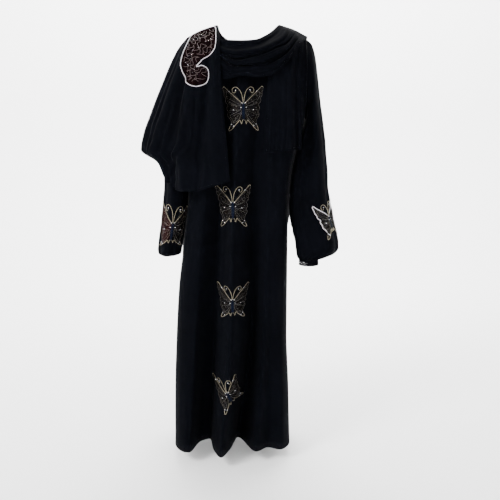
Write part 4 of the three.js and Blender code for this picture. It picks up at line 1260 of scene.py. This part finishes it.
@dataclass
class Gown:
    """Front and back of the gown, with their hems."""

    front: GownPanel = field(default_factory=lambda: GownPanel(FRONT_FOLDS, -1, 88.0, 3))
    back: GownPanel = field(default_factory=lambda: GownPanel(BACK_FOLDS, 1, 52.0, 5))

    def build(self) -> list[bpy.types.Object]:
        """Build both panels, hem and stitch them."""
        made = []
        for name, panel, side, columns, rows, cut, area, rests_on in (
            ("front", self.front, 1, (-1, 1, 240), 196, (0.95, 1.48), 0.936, ("gown_back",)),
            ("back", self.back, -1, (-1, 1, 130), 120, (0.91, 1.47), 0.878, ("gown_front",)),
        ):
            cloth = Cloth(
                f"{name}_cloth", f"gown_{name}", panel.surface, side, columns, rows, cut, area,
                "hung", rests_on,
            )
            piece = cloth.make()
            hem = Hem(f"{name}_hem", panel.surface, side, [((-0.995, 1.0), (0.995, 1.0))], turned=16.0)
            extras = hem.build()
            cloth.declare(piece, extras)
            made += [piece, *extras]
        return made


@dataclass
class Hem:
    """Edges of a piece of cloth: a rolled edge and a row of stitches beside it.

    Args:
        name: start of its pieces' names.
        surface: the cloth's surface.
        side: the cloth's side.
        edges: ends of each edge, in u and v.
        turned: how far in the stitches lie.
    """

    name: str
    surface: Surface
    side: int
    edges: Sequence[tuple[tuple[float, float], tuple[float, float]]]
    turned: float = 7.0
    roll: float = 0.95
    stitch: float = 3.4
    pitch: float = 5.6
    thread: float = 0.33
    samples: int = 900
    roll_step: float = 4.0
    roll_sunk: float = 0.45

    def line(self, edge: tuple[tuple[float, float], tuple[float, float]]) -> tuple[Values, Values]:
        """Places along an edge."""
        (u0, v0), (u1, v1) = edge
        t = np.linspace(0, 1, self.samples)
        return blend(u0, u1, t), blend(v0, v1, t)

    def build(self) -> list[bpy.types.Object]:
        """Build the rolled edges and the stitches."""
        rolls = Cords(f"{self.name}_roll", Finish.CREPE, "crepe")
        stitches = Cords(f"{self.name}_stitches", Finish.BLACK_THREAD, "crepe")
        for edge in self.edges:
            u, v = self.line(edge)
            points = self.surface(u, v)
            normals = normals_of(self.surface, u, v, self.side)
            run = np.concatenate([[0], np.cumsum(np.linalg.norm(np.diff(points, axis=0), axis=1))])
            pick = np.searchsorted(run, np.arange(0, run[-1], self.roll_step))
            rolls.tube(points[pick] - normals[pick] * self.roll_sunk, normals[pick], self.roll)
            self.sew(stitches, u, v, run)
        return [rolls.make(), stitches.make()]

    def sew(self, stitches: Cords, u: Values, v: Values, run: Values) -> None:
        """Add the row of stitches along one edge."""
        h = 1e-3
        along_v = abs(v[-1] - v[0]) > abs(u[-1] - u[0])
        inwards = (np.sign(0.5 - u), np.zeros_like(v)) if along_v else (np.zeros_like(u), np.sign(0.5 - v))
        stepped = self.surface(u + inwards[0] * h, v + inwards[1] * h) - self.surface(u, v)
        share = h * self.turned / np.maximum(np.linalg.norm(stepped, axis=1), 1e-6)
        starts = np.arange(self.pitch, run[-1] - 2 * self.pitch, self.pitch)[:, None]
        spots = starts + np.array([0.0, 0.5, 1.0]) * self.stitch
        k = np.rint(np.interp(spots.ravel(), run, np.arange(len(run)))).astype(int)
        uu, vv = u[k] + inwards[0][k] * share[k], v[k] + inwards[1][k] * share[k]
        normals = normals_of(self.surface, uu, vv, self.side)
        lift = np.tile([0.05, 0.4, 0.05], len(starts))[:, None]
        points = (self.surface(uu, vv) + normals * lift).reshape(-1, 3, 3)
        for path, up in zip(points, normals.reshape(-1, 3, 3)):
            stitches.tube(path, up, self.thread, 3)


# Rows of beads on the left cuff: share down it, first and last turn, and the beads' radius.
CUFF_BEAD_ROWS = ((0.3, 0.33, 0.43, 1.1), (0.55, 0.29, 0.46, 1.3), (0.86, 0.3, 0.49, 1.1))


@dataclass
class Sleeves:
    """Both sleeves with their gathered cuffs and the beads on the left one."""

    left: SleeveForm = field(default_factory=lambda: SleeveForm(SLEEVE_LEFT, LEFT_SLEEVE_FOLDS, 11))
    right: SleeveForm = field(default_factory=lambda: SleeveForm(SLEEVE_RIGHT, RIGHT_SLEEVE_FOLDS, 12))
    left_cuff: CuffForm = field(default_factory=lambda: CuffForm(210.8, -37, 33.4, 31, -757.9, -778))
    right_cuff: CuffForm = field(default_factory=lambda: CuffForm(-268.8, -41, 21.6, 26.4, -724, -738, 30))
    bead_pitch: float = 0.024
    bead_wander: float = 0.08

    def build(self) -> list[bpy.types.Object]:
        """Build the sleeves, the cuffs and the cuff's bead trim."""
        made = []
        for name, form, cuff, cut, area, band, band_area in (
            ("left", self.left, self.left_cuff, (0.6, 0.79), 0.226, (0.245, 0.021), 0.005),
            ("right", self.right, self.right_cuff, (0.6, 0.75), 0.196, (0.19, 0.015), 0.0028),
        ):
            side = int(-form.sign)
            sleeve = Cloth(
                f"sleeve_{name}_cloth", f"sleeve_{name}", form.surface, side, (0, 1, 130), 140,
                cut, area, "hung", ("gown_front",), looped=True,
            )
            gathered = Cloth(
                f"cuff_{name}_cloth", f"cuff_{name}", cuff.surface, -1, (0, 1, 216), 14,
                band, band_area, "gathered", (f"sleeve_{name}",), looped=True,
            )
            pieces = [sleeve.make(), gathered.make()]
            sleeve.declare(pieces[0], [])
            gathered.declare(pieces[1], [])
            made += pieces
        made += self.seams()
        made.append(self.cuff_trim())
        return made

    def seams(self) -> list[bpy.types.Object]:
        """A raised seam round each armhole."""
        seams = Cords("armhole_seams", Finish.BLACK_THREAD, "crepe")
        for form in (self.left, self.right):
            u = np.linspace(0.02, 0.98, 150)
            v = np.full_like(u, 0.004)
            normals = normals_of(form.surface, u, v + 0.01, int(-form.sign))
            seams.tube(form.surface(u, v) + normals * 0.3, normals, 0.8, 5)
        return [seams.make()]

    def cuff_trim(self) -> bpy.types.Object:
        """A cluster of beads on the inner front of the left cuff."""
        trim = Cords("cuff_left_beads", Finish.SILVER_BEAD, "sheer")
        for row, first, last, radius in CUFF_BEAD_ROWS:
            u = np.arange(first, last, self.bead_pitch)
            v = row + self.bead_wander * np.sin(40 * u)
            normals = normals_of(self.left_cuff.surface, u, v, -1)
            for point in self.left_cuff.surface(u, v) + normals * radius * 0.8:
                trim.bead(point, radius)
        return trim.make()


@dataclass
class Shawl:
    """The shawl layer: its broad end, its stretches across the neck and back, and its narrow end."""

    broad: BroadEnd = field(default_factory=BroadEnd)
    cowl: Stretch = field(default_factory=lambda: Stretch(COWL, COWL_FOLDS, -1, 0.08, 0.9, 22))
    back: Stretch = field(default_factory=lambda: Stretch(BACK_STRETCH, BACK_STRETCH_FOLDS, 1, 0.0, 0.86, 23))
    narrow: NarrowEnd = field(default_factory=NarrowEnd)
    rear_join: float = 0.16

    def back_surface(self, u: Values, v: Values) -> Values:
        """The back stretch, which starts as the broad end's rear edge."""
        rear = self.broad.surface(np.ones_like(u), np.clip(v, 0, 1))
        rear[:, 0] += 2 * SEAM
        rear[:, 1] += 6 * SEAM * (1 - smooth(0, 0.2, v))
        return blend(rear, self.back.surface(u, v), smooth(0, self.rear_join, u)[:, None])

    def build(self) -> list[bpy.types.Object]:
        """Build the four stretches, each with its rolled hem."""
        upper, hem = ((0.004, 0), (0.996, 0)), ((0.004, 1), (0.996, 1))
        left, right = ((0, 0), (0, 1)), ((1, 0), (1, 1))
        plan = (
            (Cloth("shawl_broad_end", "shawl_end_right", self.broad.surface, -1, (0, 1, 180), 150,
                   (0.59, 0.59), 0.202, "draped", ("sleeve_right", "gown_front")), (hem, left)),
            (Cloth("shawl_neck_drape", "shawl_cowl", self.cowl.surface, 1, (0, 1, 170), 110,
                   (0.43, 0.17), 0.051, "draped", ("gown_front",)), (hem, upper)),
            (Cloth("shawl_narrow_end", "shawl_end_left", self.narrow.surface, 1, (0, 1, 80), 120,
                   (0.154, 0.46), 0.05, "hung", ("gown_front", "shawl_cowl")), (hem, left, right)),
            (Cloth("shawl_back_drape", "shawl_back", self.back_surface, -1, (0, 1, 130), 100,
                   (0.73, 0.48), 0.155, "draped", ("gown_back", "sleeve_right")), (hem, upper)),
        )
        made = []
        for cloth, edges in plan:
            piece = cloth.make()
            extras = Hem(f"{cloth.name}_hem", cloth.surface, cloth.side, edges).build()
            cloth.declare(piece, extras)
            made += [piece, *extras]
        return made


# ---- embroidery ----

# A butterfly's right half, in millimetres from its middle.
TOP_EDGE = ((2, 12), (12, 21), (26, 34), (41, 46), (53, 57), (61, 63), (65, 58))
UPPER_RIM = ((65, 58), (61, 47), (61, 38), (56, 29), (56, 19), (48, 10))
LOWER_RIM = ((48, 10), (52, 0), (48, -11), (50, -21), (43, -31), (39, -41), (42, -51))
TAIL_EDGE = ((42, -51), (47, -66), (37, -62), (27, -51), (17, -40), (12, -35), (7.5, -46), (5, -38), (0, -31))
UPPER_WING = (*TOP_EDGE, *UPPER_RIM[1:], (28, 3), (4, 1))
LOWER_WING = ((4, 0), (28, 2), *LOWER_RIM, *TAIL_EDGE[1:6], (4, -24))
INNER_LINES = (
    ((9, 17), (20, 33), (35, 44), (50, 48), (53, 37), (46, 24), (34, 13), (14, 7)),
    ((9, -5), (26, -6), (42, -6), (43, -19), (36, -32), (28, -42), (16, -32), (8, -18)),
)
VEINS = (
    ((7, 12), (22, 28), (38, 38), (50, 47)), ((8, 9), (26, 18), (44, 27)), ((8, 6), (28, 8), (45, 14)),
    ((7, -4), (26, -13), (43, -22)), ((6, -8), (20, -27), (34, -45)), ((5, -12), (12, -28), (18, -38)),
)
ANTENNA = ((1, 14), (2.5, 28), (6, 43), (13, 55), (23, 61), (32, 57), (33, 48), (27, 44), (22, 49))
STONES = ((5, 15), (30, -5), (38, -47), (31, -52), (43, 49), (8, 2), (22, 52))


def mirrored(points: Sequence[tuple[float, float]], sign: int) -> list[tuple[float, float]]:
    """The drawing's right half, or its left one."""
    return [(sign * a, b) for a, b in points]


@dataclass
class Butterfly:
    """A sheer applique with couched wings, a satin body, curled antennae and beads.

    Args:
        node: the solid that it stands for.
        under: the solid that it lies on; not used.
        ground: where it is sewn.
        scale: size of its drawing across and up.
        tilt: turn of its drawing, in radians.
        cut: width and height that one side's wings are cut from, in metres; not used.
        cut_area: area of one side's wings, in square metres; not used.
        cord: finish of its outline.
        edged: finish of an extra cord round the wings, where they have one.
        wings: finishes of the wings at the drawing's left and right.
    """

    node: str
    under: str
    ground: Ground
    scale: tuple[float, float]
    tilt: float
    cut: tuple[float, float]
    cut_area: float
    cord: Finish = Finish.GOLD
    wings: tuple[Finish, Finish] = (Finish.SMOKE, Finish.SMOKE)
    edged: Finish | None = None
    edge: float = 0.62
    rim: float = 0.5
    vein: float = 0.36
    flecks: int = 20
    rounds: int = 27
    body_top: float = 15.0
    body_half: float = 5.6
    round_pitch: float = 1.95

    def drawn(self, points: Sequence[tuple[float, float]], closed: bool, step: float = 1.6) -> Values:
        """A line of the drawing at its real size."""
        return rounded(self.turned(points), closed, step)

    def turned(self, points: Sequence[tuple[float, float]]) -> Values:
        """Points of the drawing at their real size and tilt."""
        cosine, sine = math.cos(self.tilt), math.sin(self.tilt)
        return np.array(points) * self.scale @ np.array([[cosine, sine], [-sine, cosine]])

    def build(self) -> list[bpy.types.Object]:
        """Build the wings, the cords and the beads."""
        made = []
        for name, sign, finish in (("right", -1, self.wings[0]), ("left", 1, self.wings[1])):
            bm = bmesh.new()
            for wing in (UPPER_WING, LOWER_WING):
                self.ground.add_patch(bm, self.drawn(mirrored(wing, sign), True), 0.75, 1.3)
            made.append(self.ground.close_patch(f"{self.node}_{name}_wings", bm, finish))
        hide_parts(self.node)
        made += [self.couching(), self.veining(), self.body(), *self.beading()]
        if self.edged:
            made.append(self.edging())
        return made

    def couching(self) -> bpy.types.Object:
        """Bright cords of the edges and antennae."""
        cords = Cords(f"{self.node}_cords", self.cord, "sheer")
        lines = (TOP_EDGE, TAIL_EDGE, ANTENNA)
        edges = [self.drawn(mirrored(line, sign), False) for sign in (-1, 1) for line in lines]
        self.ground.couch(cords, edges, 1.5, self.edge)
        return cords.make()

    def edging(self) -> bpy.types.Object:
        """A second, brighter cord round the outer edge of the wings."""
        cords = Cords(f"{self.node}_edging", self.edged, "sheer")
        rim = (*TOP_EDGE[1:], *UPPER_RIM[1:], *LOWER_RIM[1:6])
        lines = [self.drawn(mirrored(rim, sign), False) for sign in (-1, 1)]
        self.ground.couch(cords, lines, 1.9, self.edge * 1.5)
        return cords.make()

    def veining(self) -> bpy.types.Object:
        """Dull threads of the scalloped rims, the veins and the inner contours."""
        threads = Cords(f"{self.node}_veins", Finish.DULL_GOLD, "sheer")
        lines = [self.drawn(mirrored(line, sign), False) for sign in (-1, 1) for line in VEINS]
        loops = [self.drawn(mirrored(loop, sign), True) for sign in (-1, 1) for loop in INNER_LINES]
        self.ground.couch(threads, lines + loops, 1.15, self.vein, 4)
        edges = (UPPER_RIM, LOWER_RIM)
        rims = [self.drawn(mirrored(line, sign), False) for sign in (-1, 1) for line in edges]
        self.ground.couch(threads, rims, 1.2, self.rim, 5)
        return threads.make()

    def body(self) -> bpy.types.Object:
        """Satin-stitched body: close rounds of thread over a padded core."""
        thread = Cords(f"{self.node}_body", Finish.SATIN, "sheer")
        across = np.linspace(-1, 1, 7)
        rounds = []
        for k in range(self.rounds):
            half = self.body_half * math.sin(math.pi * (k + 1.6) / (self.rounds + 2)) ** 0.7
            rounds.append(self.turned([(half * a, self.body_top - k * self.round_pitch) for a in across]))
        points, normals = self.ground.lifted(np.vstack(rounds), 0.0)
        crown = np.tile(1.0 + 2.6 * np.sqrt(np.clip(1 - across**2, 0, 1)), len(rounds))
        for path, up in zip(
            (points + normals * crown[:, None]).reshape(-1, 7, 3), normals.reshape(-1, 7, 3)
        ):
            thread.tube(path, up, 1.2, 5)
        return thread.make()

    def beading(self) -> list[bpy.types.Object]:
        """Clear stones, and small dark sequins scattered over the wings."""
        stones = Cords(f"{self.node}_stones", Finish.CLEAR_BEAD, "sheer")
        flecks = Cords(f"{self.node}_sequins", Finish.FLECK, "sheer")
        rng = np.random.default_rng(sum(map(ord, self.node)))
        for sign in (-1, 1):
            self.ground.beads(stones, self.turned(mirrored(STONES, sign)), 2.1, 1.7)
            for wing in (UPPER_WING, LOWER_WING):
                loop = self.drawn(mirrored(wing, sign), True)
                spots = rng.uniform(loop.min(axis=0), loop.max(axis=0), (self.flecks * 3, 2))
                spots = spots[is_inside(spots, loop.mean(axis=0) + (loop - loop.mean(axis=0)) * 0.9)]
                points, normals = self.ground.lifted(spots[: self.flecks], 1.15)
                for point, normal in zip(points, normals):
                    flecks.sequin(point, normal, 0.95)
        return [stones.make(), flecks.make()]


# Millimetres of the paisley's drawing for the broad end's whole width in u, and for one of its levels.
PAISLEY_ACROSS = 300.0
PAISLEY_DOWN = 68.0
PAISLEY_OUTLINE = (
    (0.037, 0.12), (0.034, 0.75), (0.04, 1.4), (0.062, 1.68), (0.11, 1.86), (0.16, 2.05), (0.187, 2.3),
    (0.15, 2.26), (0.118, 2.36), (0.095, 2.56), (0.092, 2.82), (0.118, 3.03), (0.168, 3.12),
    (0.226, 3.02), (0.287, 2.8),
    (0.334, 2.42), (0.363, 2.0), (0.376, 1.5), (0.38, 1.0), (0.4, 0.5), (0.415, 0.14),
    (0.3, 0.09), (0.17, 0.08),
)


@dataclass
class Paisley:
    """The large embroidered teardrop on the broad end: a corded outline round a ground of fine scrolls."""

    ground: Ground
    across: float = PAISLEY_ACROSS
    down: float = PAISLEY_DOWN
    seed: int = 41
    pitch: float = 27.0
    row: float = 20.0
    swing: float = 6.2
    reach: float = 8.6
    clear_top: float = 8.0
    spreading: float = 0.3
    margin: float = 20.0
    drift: float = 5.0
    drift_size: float = 22.0
    scattered: int = 160
    kept: int = 26

    def drawn(self, points: Sequence[tuple[float, float]]) -> list[tuple[float, float]]:
        """Points of the drawing in millimetres, from u and level."""
        return [(u * self.across, -level * self.down) for u, level in points]

    def build(self) -> list[bpy.types.Object]:
        """Build the ground, the outline, the meanders and the sequins."""
        outline = rounded(self.drawn(PAISLEY_OUTLINE), True, 1.4)
        patch = self.ground.patch("paisley_ground", outline, 0.8, Finish.MULBERRY, 1.5)
        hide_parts("paisley")
        border = Cords("paisley_border", Finish.SILVER, "paisley_cloth")
        self.ground.couch(border, [outline], 1.6, 1.0)
        return [patch, border.make(), self.meanders(outline), self.sequins(outline)]

    def meanders(self, outline: Values) -> bpy.types.Object:
        """Couched vermicelli: rows of thread that wander to and fro all over the ground."""
        threads = Cords("paisley_meanders", Finish.ROSE, "paisley_cloth")
        wander = Unevenness(self.seed)
        middle = outline.mean(axis=0)
        inner = middle + (outline - middle) * 0.92
        low, high = outline.min(axis=0), outline.max(axis=0)
        t = np.arange(0, (high[0] - low[0] + 2 * self.margin) / self.pitch * 2 * math.pi, 0.24)
        rows = []
        for n, b in enumerate(np.arange(low[1] - self.margin, high[1] + self.margin, self.row)):
            a = low[0] - self.margin + t * self.pitch / (2 * math.pi) + self.swing * np.sin(2 * t + n)
            c = b + self.reach * np.cos(t + n * 1.7)
            place_a, place_c = a / self.drift_size, c / self.drift_size + n
            a = a + self.drift * wander.at(place_a, place_c)
            c = c + self.drift * wander.at(place_a + 9, place_c)
            turned = middle + (np.stack([a, c], axis=1) - middle) @ np.array([[0.8, 0.6], [-0.6, 0.8]])
            share = (high[1] - turned[:, 1]) / (high[1] - low[1])
            share = share + self.spreading * share * (1 - share)
            widened = 1 + self.spreading * (1 - 2 * share)
            turned[:, 0] = middle[0] + (turned[:, 0] - middle[0]) * widened
            turned[:, 1] = high[1] - share * (high[1] - low[1])
            inside = is_inside(turned, inner) & (turned[:, 1] < -self.clear_top)
            starts = np.flatnonzero(np.diff(inside.astype(int))) + 1
            parts = np.split(turned, starts)
            rows += [part for part in parts if len(part) > 6 and is_inside(part[3:4], inner)[0]]
        self.ground.couch(threads, rows, 1.25, 0.55, 5)
        return threads.make()

    def sequins(self, outline: Values) -> bpy.types.Object:
        """Sequins scattered between the rows."""
        bright = Cords("paisley_sequins", Finish.SILVER_BEAD, "paisley_cloth")
        rng = np.random.default_rng(self.seed + 1)
        centre = outline.mean(axis=0)
        spots = rng.uniform(outline.min(axis=0), outline.max(axis=0), (self.scattered, 2))
        inside = is_inside(spots, centre + (outline - centre) * 0.88)
        spots = spots[inside & (spots[:, 1] < -3 * self.clear_top)][: self.kept]
        points, normals = self.ground.lifted(spots, 1.5)
        for point, normal in zip(points, normals):
            bright.sequin(point, normal, 1.1)
        return bright.make()


# ---- the studio ----


@dataclass
class Studio:
    """Pale floor, soft light and camera."""

    floor_z: float = -1.47
    floor_radius: float = 4.2
    flat_share: float = 0.55
    bend: float = 1.2
    wall: float = 3.2
    aim_at: tuple[float, float, float] = (-0.02, 0.0, -0.65)
    eye: tuple[float, float, float] = (0.008, -2.2, -0.25)
    pitch_down: float = 12.43
    lens: float = 46.26

    def build(self) -> None:
        """Build the floor, the lights and the camera."""
        self.floor()
        self.lights()
        data = bpy.data.cameras.new("camera")
        data.lens, data.sensor_width = self.lens, 36.0
        camera = bpy.data.objects.new("camera", data)
        camera.location = self.eye
        camera.rotation_euler = (math.radians(90 - self.pitch_down), 0, 0)
        bpy.context.scene.collection.objects.link(camera)
        bpy.context.scene.camera = camera

    def floor(self) -> None:
        """A disc of paper that sweeps up all round."""
        bm = bmesh.new()
        sweep = [(0.0, 0.0), (self.floor_radius * self.flat_share, 0.0)]
        bend = self.bend
        for k in range(13):
            angle = math.pi / 2 * k / 12
            sweep.append((self.floor_radius - bend + bend * math.sin(angle), bend - bend * math.cos(angle)))
        sweep.append((self.floor_radius, self.wall))
        verts = [bm.verts.new((r, 0.0, self.floor_z + z)) for r, z in sweep]
        edges = [bm.edges.new(pair) for pair in zip(verts, verts[1:])]
        bmesh.ops.spin(
            bm, geom=[*verts, *edges], cent=(0, 0, 0), axis=(0, 0, 1), angle=2 * math.pi, steps=72,
            use_merge=True,
        )
        bmesh.ops.remove_doubles(bm, verts=bm.verts, dist=1e-5)
        bmesh.ops.recalc_face_normals(bm, faces=bm.faces)
        bmesh.ops.reverse_faces(bm, faces=bm.faces)
        to_object("studio_floor", bm, Finish.FLOOR)

    def lights(self) -> None:
        """A broad key from the upper left, a fill, an edge light, one for the backdrop, and a pale world."""
        for name, place, target, size, power in (
            ("key", (-2.3, -2.0, 1.5), self.aim_at, 1.2, 230.0),
            ("fill", (1.9, -2.4, 0.3), self.aim_at, 2.0, 30.0),
            ("edge", (1.9, 1.6, 0.9), self.aim_at, 1.2, 30.0),
            ("backdrop", (0.0, 1.7, 2.3), (0.0, 3.9, 0.0), 2.2, 700.0),
        ):
            data = bpy.data.lights.new(name, "AREA")
            data.energy, data.size = power, size
            light = bpy.data.objects.new(name, data)
            light.location = place
            aim = Vector(target) - Vector(place)
            light.rotation_euler = aim.to_track_quat("-Z", "Y").to_euler()
            bpy.context.scene.collection.objects.link(light)
        world = bpy.data.worlds.new("studio")
        world.use_nodes = True
        background = world.node_tree.nodes["Background"]
        background.inputs["Color"].default_value = (1.0, 1.0, 1.0, 1.0)
        background.inputs["Strength"].default_value = 0.95
        bpy.context.scene.world = world


# Front butterflies: solid, place of the middle, size across and up, tilt, and area of one side's wings.
FRONT_BUTTERFLIES = (
    ("butterfly_1", -13, -249, 1.0, 1.06, 0.02, 0.0049),
    ("butterfly_2", -47, -561, 0.89, 1.05, 0.02, 0.0059),
    ("butterfly_3", -50, -880, 0.82, 0.88, 0.0, 0.0054),
    ("butterfly_4", -66, -1200, 0.68, 0.86, 0.34, 0.005),
)


@dataclass
class Embroidery:
    """All the motifs, on the cloth that they are sewn to."""

    gown: Gown
    sleeves: Sleeves
    shawl: Shawl

    def on_front(self, x: float, z: float) -> Ground:
        """A place on the front of the gown, drawn as it is seen from the front."""
        panel = self.gown.front

        def locate(drawing: Values) -> tuple[Values, Values]:
            """Column and share down of each point."""
            height = z + drawing[:, 1]
            c = panel.column_at(x + drawing[:, 0], height)
            return c, (height - panel.top(c)) / (HEM_Z - panel.top(c))

        return Ground(panel.surface, 1, locate)

    @staticmethod
    def on_sleeve(form: SleeveForm, turn: float, v: float, across: float, down: float) -> Ground:
        """A place on a sleeve; across and down are the sleeve's turn and run for a millimetre."""

        def locate(drawing: Values) -> tuple[Values, Values]:
            """Turn and share down of each point."""
            return turn - form.sign * drawing[:, 0] * across, v - drawing[:, 1] * down

        return Ground(form.surface, int(-form.sign), locate)

    def on_broad_end(self, across: float, down: float) -> Ground:
        """The whole broad end, drawn by u and level."""

        def locate(drawing: Values) -> tuple[Values, Values]:
            """Place across and share down of each point."""
            u = drawing[:, 0] / across
            return u, -drawing[:, 1] / down / BROAD_END_HEM.read(u)["level"]

        return Ground(self.shawl.broad.surface, -1, locate)

    def build(self) -> list[bpy.types.Object]:
        """Sew every motif."""
        made = []
        for node, x, z, wide, high, tilt, area in FRONT_BUTTERFLIES:
            made += Butterfly(
                node, "gown_front", self.on_front(x, z), (wide, high), tilt, (0.09, 0.14), area
            ).build()
        right = self.on_sleeve(self.sleeves.right, 0.265, 0.657, 0.0033, 0.00108)
        made += Butterfly(
            "butterfly_sleeve_right", "sleeve_right", right, (0.95, 1.08), 0.0, (0.08, 0.14), 0.0046,
            wings=(Finish.RUSSET, Finish.SMOKE),
        ).build()
        left = self.on_sleeve(self.sleeves.left, 0.11, 0.602, 0.0024, 0.0013)
        made += Butterfly(
            "butterfly_sleeve_left", "sleeve_left", left, (0.74, 0.98), 0.1, (0.07, 0.14), 0.003,
            edged=Finish.SILVER,
        ).build()
        made += Paisley(self.on_broad_end(PAISLEY_ACROSS, PAISLEY_DOWN)).build()
        return made


def main() -> None:
    """Build the abaya and its studio."""
    logging.basicConfig(level=logging.INFO, format="%(name)s: %(message)s")
    gown, sleeves, shawl = Gown(), Sleeves(), Shawl()
    for label, maker in (
        ("gown", gown), ("sleeves", sleeves), ("shawl layer", shawl),
        ("embroidery", Embroidery(gown, sleeves, shawl)),
    ):
        for piece in maker.build():
            LOG.info("%s: %s, %d faces", label, piece.name, len(piece.data.polygons))
    Studio().build()


if __name__ == "__main__":
    main()
